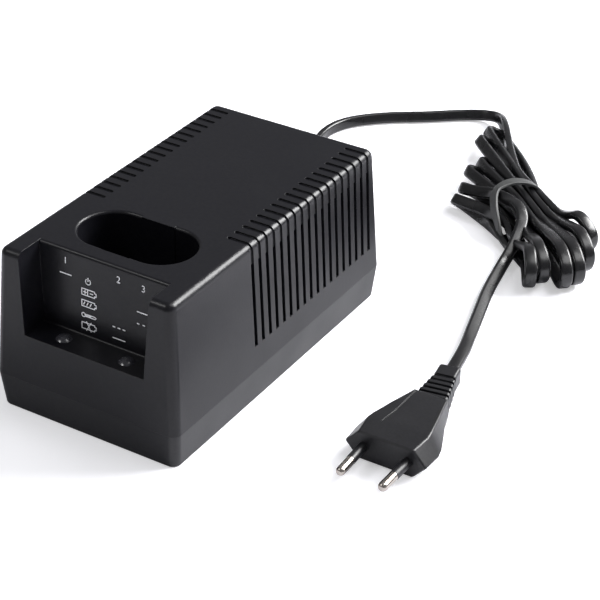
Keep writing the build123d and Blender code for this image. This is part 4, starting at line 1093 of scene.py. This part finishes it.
@dataclass
class Plug:
    """Flat two-pin plug: a six-sided moulded body with a ribbed relief and two sleeved pins."""

    face: Point = (105.2, -32.0, 6.85)
    turn: float = 0.5
    # distance from the face, width, height and width of the flat top, in millimetres
    stations: tuple[tuple[float, float, float, float], ...] = (
        (0.0, 34.0, 12.0, 22.8), (0.9, 34.5, 12.5, 23.2), (9.5, 35.2, 13.7, 25.4),
        (13.5, 33.4, 13.7, 24.4), (17.0, 30.6, 13.4, 22.8), (22.0, 26.4, 13.1, 20.8),
        (28.0, 21.2, 12.6, 18.0), (33.0, 17.6, 12.2, 15.6), (36.2, 16.0, 11.8, 14.4),
    )
    edge: float = 0.55
    # places across and back of the raised line on the top
    top_line: tuple[Place, ...] = ((-6.9, 9.4), (-5.9, 18.4), (-6.0, 35.6))
    line_half: float = 0.3
    line_height: float = 0.14
    line_root: float = 0.2  # how deep the line starts inside the body
    line_crest: float = 0.4  # width of its top against its foot
    line_parts: int = 8  # short bars that follow the top's slope
    pin_gap: float = 18.6
    pin_tip_gap: float = 17.5
    pin_length: float = 19.0
    pin_radius: float = 2.0
    pin_sides: int = 28
    pin_root: float = 11.0  # how far the pins reach into the body
    metal_share: float = 0.975  # radius of the bare metal against the pin's
    sleeve_length: float = 10.0
    sleeve_wall: float = 0.5
    sleeve_lip: float = 0.45  # width of the sleeve's end face with its eased edge
    sleeve_ease: float = 0.15
    sleeve_root: float = 0.6  # how far the sleeves reach into the body
    # distance along the pin from its tip, and radius, of the rounded end
    pin_end: tuple[Place, ...] = (
        (0.0, 0.55), (0.12, 1.0), (0.4, 1.42), (0.85, 1.76), (1.4, 1.94), (2.0, 2.0),
    )

    def body(self) -> Piece:
        """Builds the moulded body through its stations, with eased edges.

        Returns:
            The body.
        """
        frame = frame_at(self.face, self.turn)
        points: list[Vector] = []
        for along, width, height, top in self.stations:
            side, flat, high = width / 2, top / 2, height / 2
            rim = ((side, 0.0), (flat, high), (-flat, high), (-side, 0.0), (-flat, -high), (flat, -high))
            points += [frame @ mm(x, along, z) for x, z in rim]
        mesh = mesh_from(points, tube_faces(len(self.stations), 6))
        body = add_piece("plug_shell", mesh, PVC_MOULDED.material())
        eased(body, self.edge, segments=3, angle=20)
        with editing(body.data) as form:
            for first, last in zip(self.top_line, self.top_line[1:]):
                self.raise_line(form, first, last)
        return softened(body, angle=32)

    def top_height(self, along: float) -> float:
        """Finds how high the plug's flat top is above its middle.

        Args:
            along: distance from the face, in millimetres.

        Returns:
            The height in millimetres.
        """
        for (start, _, low, _), (end, _, high, _) in zip(self.stations, self.stations[1:]):
            if along <= end:
                return (low + (high - low) * (along - start) / (end - start)) / 2
        return self.stations[-1][2] / 2

    def raise_line(self, form: bmesh.types.BMesh, first: Place, last: Place) -> None:
        """Adds one straight stretch of the raised line to the body's mesh.

        Args:
            form: the body's mesh.
            first: where the stretch begins, across and back.
            last: where it ends.
        """
        frame = frame_at(self.face, self.turn)
        foot, crest = self.line_half, self.line_half * self.line_crest
        rings = []
        for i in range(self.line_parts + 1):
            x, y = (a + (b - a) * i / self.line_parts for a, b in zip(first, last))
            low, high = self.top_height(y) - self.line_root, self.top_height(y) + self.line_height
            rim = ((x - foot, low), (x + foot, low), (x + crest, high), (x - crest, high))
            rings.append([form.verts.new(frame @ mm(across, y, z)) for across, z in rim])
        for here, after in zip(rings, rings[1:]):
            for k in range(4):
                form.faces.new((here[k], here[(k + 1) % 4], after[(k + 1) % 4], after[k]))
        form.faces.new(rings[0][::-1])
        form.faces.new(rings[-1])

    def turned(self, name: str, profile: list[Place], finish: Finish) -> Piece:
        """Turns a profile about both pins' axes.

        Args:
            name: the piece's name.
            profile: distance ahead of the face and radius of each corner, in millimetres.
            finish: what the piece is made of.

        Returns:
            Both pins' turned shapes as one piece.
        """
        frame = frame_at(self.face, self.turn)
        lean = (self.pin_gap - self.pin_tip_gap) / 2 / self.pin_length
        points: list[Vector] = []
        faces: list[Face] = []
        for side in (1, -1):
            faces += tube_faces(len(profile), self.pin_sides, first=len(points))
            for ahead, radius in profile:
                middle = side * (self.pin_gap / 2 - lean * max(ahead, 0.0))
                for i in range(self.pin_sides):
                    turn = 2 * math.pi * i / self.pin_sides
                    spot = mm(middle + radius * math.cos(turn), -ahead, radius * math.sin(turn))
                    points.append(frame @ spot)
        return softened(add_piece(name, mesh_from(points, faces), finish.material()), angle=40)

    def pins(self) -> Piece:
        """Builds the metal pins with their rounded ends and the cores under the sleeves.

        Returns:
            The pins.
        """
        core, metal = self.pin_radius - self.sleeve_wall, self.pin_radius * self.metal_share
        profile = [(-self.pin_root, core), (self.sleeve_length, core), (self.sleeve_length, metal)]
        for back, radius in reversed(self.pin_end):
            profile.append((self.pin_length - back, radius * self.metal_share))
        return self.turned("plug_contact_pins", profile, NICKEL)

    def sleeves(self) -> Piece:
        """Builds the insulating sleeves on the roots of the pins.

        Returns:
            The sleeves.
        """
        length, radius, ease = self.sleeve_length, self.pin_radius, self.sleeve_ease
        profile = [(-self.sleeve_root, radius), (length - ease, radius), (length, radius - ease)]
        profile.append((length, radius - self.sleeve_lip))
        return self.turned("plug_sleeves", profile, PVC_MOULDED)

    def build(self) -> list[Piece]:
        """Builds the whole plug.

        Returns:
            Every piece of the plug.
        """
        return [
            stand_in(self.body(), "pvc_moulded", "plug_body"),
            stand_in(Relief().build(), "pvc_moulded", "plug_strain_relief"),
            stand_in(self.pins(), "nickel", "plug_pins"),
            stand_in(self.sleeves(), "pvc_moulded", "plug_pin_sleeves"),
        ]


# ---------------- housing


@dataclass
class Housing:
    """Cover and tray with their textured skins, the lenses and the rear relief."""

    # piece, the CAD node it copies, the sharpest turn shaded smooth, finish and material slot
    mouldings: tuple[tuple[str, str, float, Finish, str], ...] = (
        ("cover", "upper_housing", 32.0, BLACK_ABS, "black_abs"),
        # the tray's finish has tones painted paler for the light that its sides catch
        ("tray", "base_tray", 32.0, TRAY_ABS_PAINTED_PALER, "tray_abs"),
        ("lens_left", "indicator_lens_left", 40.0, SMOKE_LENS, "lens_plastic"),
        ("lens_right", "indicator_lens_right", 40.0, SMOKE_LENS, "lens_plastic"),
        ("rear_relief", "strain_relief", 35.0, PVC_MOULDED, "pvc_moulded"),
    )

    @staticmethod
    def smooth_copy(name: str, node: Piece, angle: float, finish: Finish) -> Piece:
        """Copies a CAD node, joins its loose triangles, and shades it as one moulding.

        Args:
            name: the copy's name.
            node: the CAD node's object, which is left alone.
            angle: the sharpest turn in degrees that is shaded smooth.
            finish: what the copy is made of.

        Returns:
            The copy.
        """
        mesh = bpy.data.meshes.new(name)
        triangles = [tuple(face.vertices) for face in node.data.polygons]
        mesh.from_pydata([v.co for v in node.data.vertices], [], triangles)
        with editing(mesh) as form:
            bmesh.ops.remove_doubles(form, verts=form.verts, dist=SAME_CORNER)
            bmesh.ops.dissolve_degenerate(form, edges=form.edges, dist=SAME_PLACE)
            bmesh.ops.dissolve_limit(form, angle_limit=FLAT, verts=form.verts, edges=form.edges)
        return softened(add_piece(name, mesh, finish.material()), angle)

    def build(self, nodes: dict[str, Piece]) -> list[Piece]:
        """Dresses every moulding of the housing.

        Args:
            nodes: the CAD nodes by name.

        Returns:
            The new pieces, with the rear relief last.
        """
        return [
            stand_in(self.smooth_copy(name, nodes[node], angle, finish), slot, node)
            for name, node, angle, finish, slot in self.mouldings
        ]


class Sign(Enum):
    """Drawings printed in the recess, all of them generic."""

    MAINS = "mains"
    CHARGING = "charging"
    FILLING = "filling"
    HOT = "hot"
    FAULTY = "faulty"


@dataclass
class Legend:
    """White printing on the back wall of the indicator recess."""

    wall_place: float = -62.1
    wall_height: float = 35.7
    wall_lean: float = 0.0623
    film: float = 0.05
    sunk: float = 0.02  # how deep the film starts inside the wall
    stroke: float = 0.38
    overlap: float = 0.3  # how far a bar runs past its ends, in strokes
    rule_stroke: float = 1.15  # height of a line's dashes, in strokes
    dash_share: float = 0.62  # length of a dash against the pitch
    digit_height: float = 3.1
    type_share: float = 1.25  # type size against the height of its digits
    # digit, and its middle and foot on the wall
    numbers: tuple[tuple[str, float, float], ...] = (("1", -17.2, 63.4), ("2", 7.0, 62.9), ("3", 18.2, 62.6))
    # first end, last end and height of each line, with the number of its dashes
    rules: tuple[tuple[float, float, float, int], ...] = (
        (-19.8, -14.4, 59.1, 1), (15.4, 20.1, 53.8, 1), (15.5, 19.1, 48.8, 2), (4.4, 10.3, 43.9, 3),
        (4.4, 10.3, 39.2, 1),
    )

    def on_wall(self, x: float, z: float, proud: float) -> Vector:
        """Returns a place on the wall, in metres, standing proud of it by so many millimetres."""
        y = self.wall_place + (z - self.wall_height) * self.wall_lean
        return mm(x, y - proud, z + proud * self.wall_lean)

    def film_piece(self, name: str, outlines: list[list[Place]]) -> Piece:
        """Lays closed shapes on the wall as a thin film of ink.

        Args:
            name: the piece's name.
            outlines: each shape's corners on the wall, in millimetres.

        Returns:
            The piece.
        """
        points: list[Vector] = []
        faces: list[Face] = []
        for outline in outlines:
            faces += tube_faces(2, len(outline), first=len(points))
            points += [self.on_wall(x, z, proud) for proud in (-self.sunk, self.film) for x, z in outline]
        return add_piece(name, mesh_from(points, faces), WHITE_INK.material())

    def bars(self, spots: list[Place], closed: bool = False) -> list[list[Place]]:
        """Turns a drawn line into short bars of the stroke's width.

        Args:
            spots: the line's corners.
            closed: whether the last corner joins the first.

        Returns:
            One four-cornered shape for each stretch.
        """
        corners = [Vector(spot) for spot in spots]
        bars = []
        for first, last in zip(corners, corners[1:] + corners[: int(closed)]):
            run = (last - first).normalized()
            aside = Vector((-run.y, run.x)) * self.stroke / 2
            start, stop = first - run * self.stroke * self.overlap, last + run * self.stroke * self.overlap
            bars.append([tuple(p) for p in (start + aside, start - aside, stop - aside, stop + aside)])
        return bars

    @staticmethod
    def arc(centre: Place, radius: float, first: float, last: float, count: int) -> list[Place]:
        """Returns points along an arc whose angles are in degrees."""
        turns = [math.radians(first + (last - first) * i / (count - 1)) for i in range(count)]
        return [(centre[0] + radius * math.cos(t), centre[1] + radius * math.sin(t)) for t in turns]

    def cell(self, low: float, high: float) -> list[list[Place]]:
        """Draws a battery with its small end cap.

        Args:
            low: the case's lower edge on the wall, in millimetres.
            high: its upper edge.

        Returns:
            The bars of its outline.
        """
        left, neck, right, cap = -9.7, -3.8, -3.1, (high - low) / 4
        case = [(left, low), (neck, low), (neck, low + cap), (right, low + cap)]
        case += [(right, high - cap), (neck, high - cap), (neck, high), (left, high)]
        return self.bars(case, closed=True)

    def drawing(self, sign: Sign) -> list[list[Place]]:
        """Draws one sign on the wall.

        Args:
            sign: which one.

        Returns:
            Its bars, in millimetres on the wall.
        """
        line = self.bars
        if sign is Sign.MAINS:
            return line(self.arc((-6.8, 58.8), 1.15, 125, 415, 17)) + line([(-6.8, 59.0), (-6.8, 60.4)])
        if sign is Sign.CHARGING:
            plus = line([(-8.9, 54.2), (-7.5, 54.2)]) + line([(-8.2, 53.5), (-8.2, 54.9)])
            minus = line([(-5.9, 54.2), (-4.6, 54.2)])
            return self.cell(52.9, 55.5) + plus + minus + line([(-7.0, 53.3), (-7.0, 55.1)])
        if sign is Sign.FILLING:
            levels = [line([(left, 48.8), (left + 0.6, 50.0)]) for left in (-8.9, -7.4, -5.9)]
            return self.cell(48.1, 50.7) + sum(levels, [])
        if sign is Sign.HOT:
            bulb = line(self.arc((-8.9, 44.4), 0.85, 20, 340, 11), closed=True)
            tube = line([(-8.0, 44.85), (-3.6, 44.85), (-3.2, 44.4), (-3.6, 43.95), (-8.0, 43.95)])
            return bulb + tube + line([(-8.4, 44.4), (-5.6, 44.4)])
        crossed = line([(-7.6, 38.0), (-5.4, 41.8)]) + line([(-7.6, 41.8), (-5.4, 38.0)])
        return self.cell(38.6, 41.2) + crossed

    def number(self, digit: str, x: float, z: float) -> Piece:
        """Builds one plain number as a film on the wall.

        Args:
            digit: the number.
            x: its middle along X, in millimetres.
            z: its foot's height.

        Returns:
            The piece.
        """
        letter = bpy.data.curves.new("digit", "FONT")
        letter.body = digit
        letter.size = self.digit_height * MM * self.type_share
        letter.extrude = (self.film + self.sunk) / 2 * MM
        letter.resolution_u = 3
        letter.align_x = "CENTER"
        holder = add_object("digit", letter)
        mesh = evaluated(holder)
        bpy.data.objects.remove(holder)
        upright = Matrix.Rotation(math.radians(90) - math.atan(self.wall_lean), 4, "X")
        mesh.transform(Matrix.Translation(self.on_wall(x, z, (self.film - self.sunk) / 2)) @ upright)
        return add_piece(f"legend_number_{digit}", mesh, WHITE_INK.material())

    def dash_tree(self) -> Tree:
        """Builds the tree that repeats a dash along a line.

        Returns:
            The tree.
        """
        sockets = {"Start": "Vector", "Step": "Vector", "Count": "Int", "Size": "Vector", "Ink": "Material"}
        tree, given = start_tree("printed dashes", sockets)
        line = {"Count": given["Count"], "Start Location": given["Start"], "Offset": given["Step"]}
        row = add_node(tree, "GeometryNodeMeshLine", line)
        dash = add_node(tree, "GeometryNodeMeshCube", {"Size": given["Size"]})
        copies = {"Points": row, "Instance": dash, "Rotation": (-math.atan(self.wall_lean), 0.0, 0.0)}
        return end_tree(tree, add_node(tree, "GeometryNodeInstanceOnPoints", copies), given["Ink"])

    def rule(self, name: str, tree: Tree, first: float, last: float, z: float, count: int) -> Piece:
        """Builds one printed line of dashes.

        Args:
            name: the piece's name.
            tree: the tree that repeats the dash.
            first: the line's left end, in millimetres.
            last: its right end.
            z: its height.
            count: how many dashes it has.

        Returns:
            The piece.
        """
        long = (last - first) / count * (1.0 if count == 1 else self.dash_share)
        values = {
            "Start": self.on_wall(first + long / 2, z, (self.film - self.sunk) / 2),
            "Step": mm((last - first - long) / max(count - 1, 1), 0.0, 0.0),
            "Count": count,
            "Size": mm(long, self.film + self.sunk, self.stroke * self.rule_stroke),
            "Ink": WHITE_INK.material(),
        }
        return repeated(name, tree, values)

    def build(self) -> list[Piece]:
        """Prints the whole legend.

        Returns:
            Its pieces: signs, numbers and lines.
        """
        pieces = [self.film_piece(f"legend_{sign.value}", self.drawing(sign)) for sign in Sign]
        pieces += [self.number(*number) for number in self.numbers]
        tree = self.dash_tree()
        pieces += [self.rule(f"legend_rule_{i}", tree, *rule) for i, rule in enumerate(self.rules, 1)]
        for piece in pieces:
            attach(piece, ROOT)
        return pieces


# ---------------- studio


@dataclass(frozen=True)
class SoftLight:
    """A rectangular soft light: its place, what it faces and its size in metres, and its watts."""

    name: str
    place: Point
    aim: Point
    size: Place
    power: float

    def build(self) -> None:
        """Adds the light."""
        lamp = bpy.data.lights.new(self.name, "AREA")
        lamp.shape = "RECTANGLE"
        lamp.size, lamp.size_y = self.size
        lamp.energy = self.power
        stand = add_object(self.name, lamp)
        stand.location = self.place
        stand.rotation_euler = (Vector(self.aim) - Vector(self.place)).to_track_quat("-Z", "Y").to_euler()


@dataclass
class Studio:
    """Pale floor, soft lights and the camera."""

    camera_place: Point = (0.37219, -0.54049, 0.43025)
    yaw: float = 30.936
    pitch: float = 31.902
    roll: float = 1.089
    lens: float = 115.506
    sensor: float = 36.0
    clip: Place = (0.05, 20.0)
    floor_reach: float = 3.0
    fibre: float = 900.0  # spots of the card's faint unevenness in a metre
    card_tone: Place = (0.9, 0.92)
    card_tint: Point = (0.95, 0.95, 1.0)
    card_glow: float = 0.42  # lifts the lit card to plain white for the camera alone
    sky: str = "fafafd"
    mirrored: float = 0.28  # the surroundings' strength in reflections
    ambient: float = 0.25  # and where they only light
    lights: tuple[SoftLight, ...] = (
        SoftLight("front softbox", (-0.7, -0.8, 1.2), (0.0, 0.05, 0.03), (0.5, 0.3), 4.2),
        SoftLight("rear softbox", (0.9, 1.25, 1.15), (0.0, 0.05, 0.03), (1.3, 0.8), 76.0),
        SoftLight("side panel", (0.5, 0.3, 1.2), (0.1, 0.12, 0.0), (0.7, 0.5), 5.0),
        SoftLight("rear panel", (0.5, 1.7, 0.85), (0.1, 0.1, 0.0), (1.5, 0.9), 5.0),
    )

    def camera(self) -> None:
        """Adds the camera and makes it the scene's own."""
        turn, tilt, lean = (math.radians(v) for v in (self.yaw, self.pitch, self.roll))
        back = Vector((math.sin(turn) * math.cos(tilt), -math.cos(turn) * math.cos(tilt), math.sin(tilt)))
        side = (-back).cross(UP).normalized()
        above = side.cross(-back)
        right = side * math.cos(lean) + above * math.sin(lean)
        top = above * math.cos(lean) - side * math.sin(lean)
        eye = bpy.data.cameras.new("studio camera")
        eye.lens = self.lens
        eye.sensor_width = self.sensor
        eye.sensor_fit = "HORIZONTAL"
        eye.clip_start, eye.clip_end = self.clip
        stand = add_object("studio camera", eye)
        place = Matrix((right, top, back)).transposed().to_4x4()
        place.translation = Vector(self.camera_place)
        stand.matrix_world = place
        bpy.context.scene.camera = stand

    def floor(self) -> None:
        """Adds the white floor, which fades to plain white for the camera but keeps shadows."""
        reach = self.floor_reach
        corners = [Vector((x * reach, y * reach, 0.0)) for x, y in ((-1, -1), (1, -1), (1, 1), (-1, 1))]
        made = bpy.data.materials.new("white card")
        tree = cleared(made)
        where = add_node(tree, "ShaderNodeTexCoord").outputs["Object"]
        fibre = add_node(tree, "ShaderNodeTexNoise", {"Vector": where, "Scale": self.fibre})
        low, high = self.card_tone
        tone = add_node(tree, "ShaderNodeMapRange", {"Value": fibre, "To Min": low, "To Max": high})
        tinted = {"Vector": self.card_tint, "Scale": tone}
        card = add_node(tree, "ShaderNodeVectorMath", tinted, operation="SCALE")
        paper = add_node(tree, "ShaderNodeBsdfDiffuse", {"Color": card})
        seen = add_node(tree, "ShaderNodeLightPath").outputs["Is Camera Ray"]
        glow = add_node(tree, "ShaderNodeMath", {0: seen, 1: self.card_glow}, operation="MULTIPLY")
        white = add_node(tree, "ShaderNodeEmission", {"Strength": glow})
        both = add_node(tree, "ShaderNodeAddShader", {0: paper, 1: white})
        add_node(tree, "ShaderNodeOutputMaterial", {"Surface": both})
        add_piece("floor", mesh_from(corners, [(0, 1, 2, 3)]), made)

    def world(self) -> None:
        """Fills the surroundings: white where they are seen or mirrored, dim where they only light."""
        world = bpy.data.worlds.new("studio")
        bpy.context.scene.world = world
        tree = cleared(world)
        rays = add_node(tree, "ShaderNodeLightPath").outputs
        open_view = {0: rays["Is Camera Ray"], 1: rays["Is Transmission Ray"]}
        clear = add_node(tree, "ShaderNodeMath", open_view, operation="MAXIMUM")
        glossy = {0: rays["Is Glossy Ray"], 1: self.mirrored}
        mirrored = add_node(tree, "ShaderNodeMath", glossy, operation="MULTIPLY")
        seen = add_node(tree, "ShaderNodeMath", {0: clear, 1: mirrored}, operation="MAXIMUM")
        strength = add_node(tree, "ShaderNodeMath", {0: seen, 1: self.ambient}, operation="MAXIMUM")
        sky = add_node(tree, "ShaderNodeBackground", {"Color": linear(self.sky), "Strength": strength})
        add_node(tree, "ShaderNodeOutputWorld", {"Surface": sky})

    def build(self) -> None:
        """Sets up the whole studio."""
        self.camera()
        self.floor()
        self.world()
        for light in self.lights:
            light.build()
        bpy.context.scene.view_settings.view_transform = "Standard"


# ---------------- assembly


def dress_nodes(nodes: dict[str, Piece]) -> None:
    """Gives each CAD node that stays its finish.

    Args:
        nodes: the CAD nodes by name.
    """
    for finish, names in NODE_FINISHES.items():
        for name in names:
            mesh = nodes[name].data
            mesh.materials.clear()
            mesh.materials.append(finish.material())
            log.info("dressed %s in %s", name, finish.name)


def main() -> None:
    """Builds the charger's looks in order and reports each piece."""
    logging.basicConfig(level=logging.INFO, format="%(name)s: %(message)s")
    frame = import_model()
    nodes = frame["nodes"]
    Studio().build()
    dress_nodes(nodes)
    lead = MainsLead()
    cord, path = lead.build()
    tie = HankTie().build(lead)
    housing = Housing().build(nodes)
    legend = Legend().build()
    plug = Plug().build()
    for piece in (cord, tie, *housing, *legend, *plug):
        log.info("%s: %d faces", piece.name, len(piece.data.polygons))


if __name__ == "__main__":
    main()
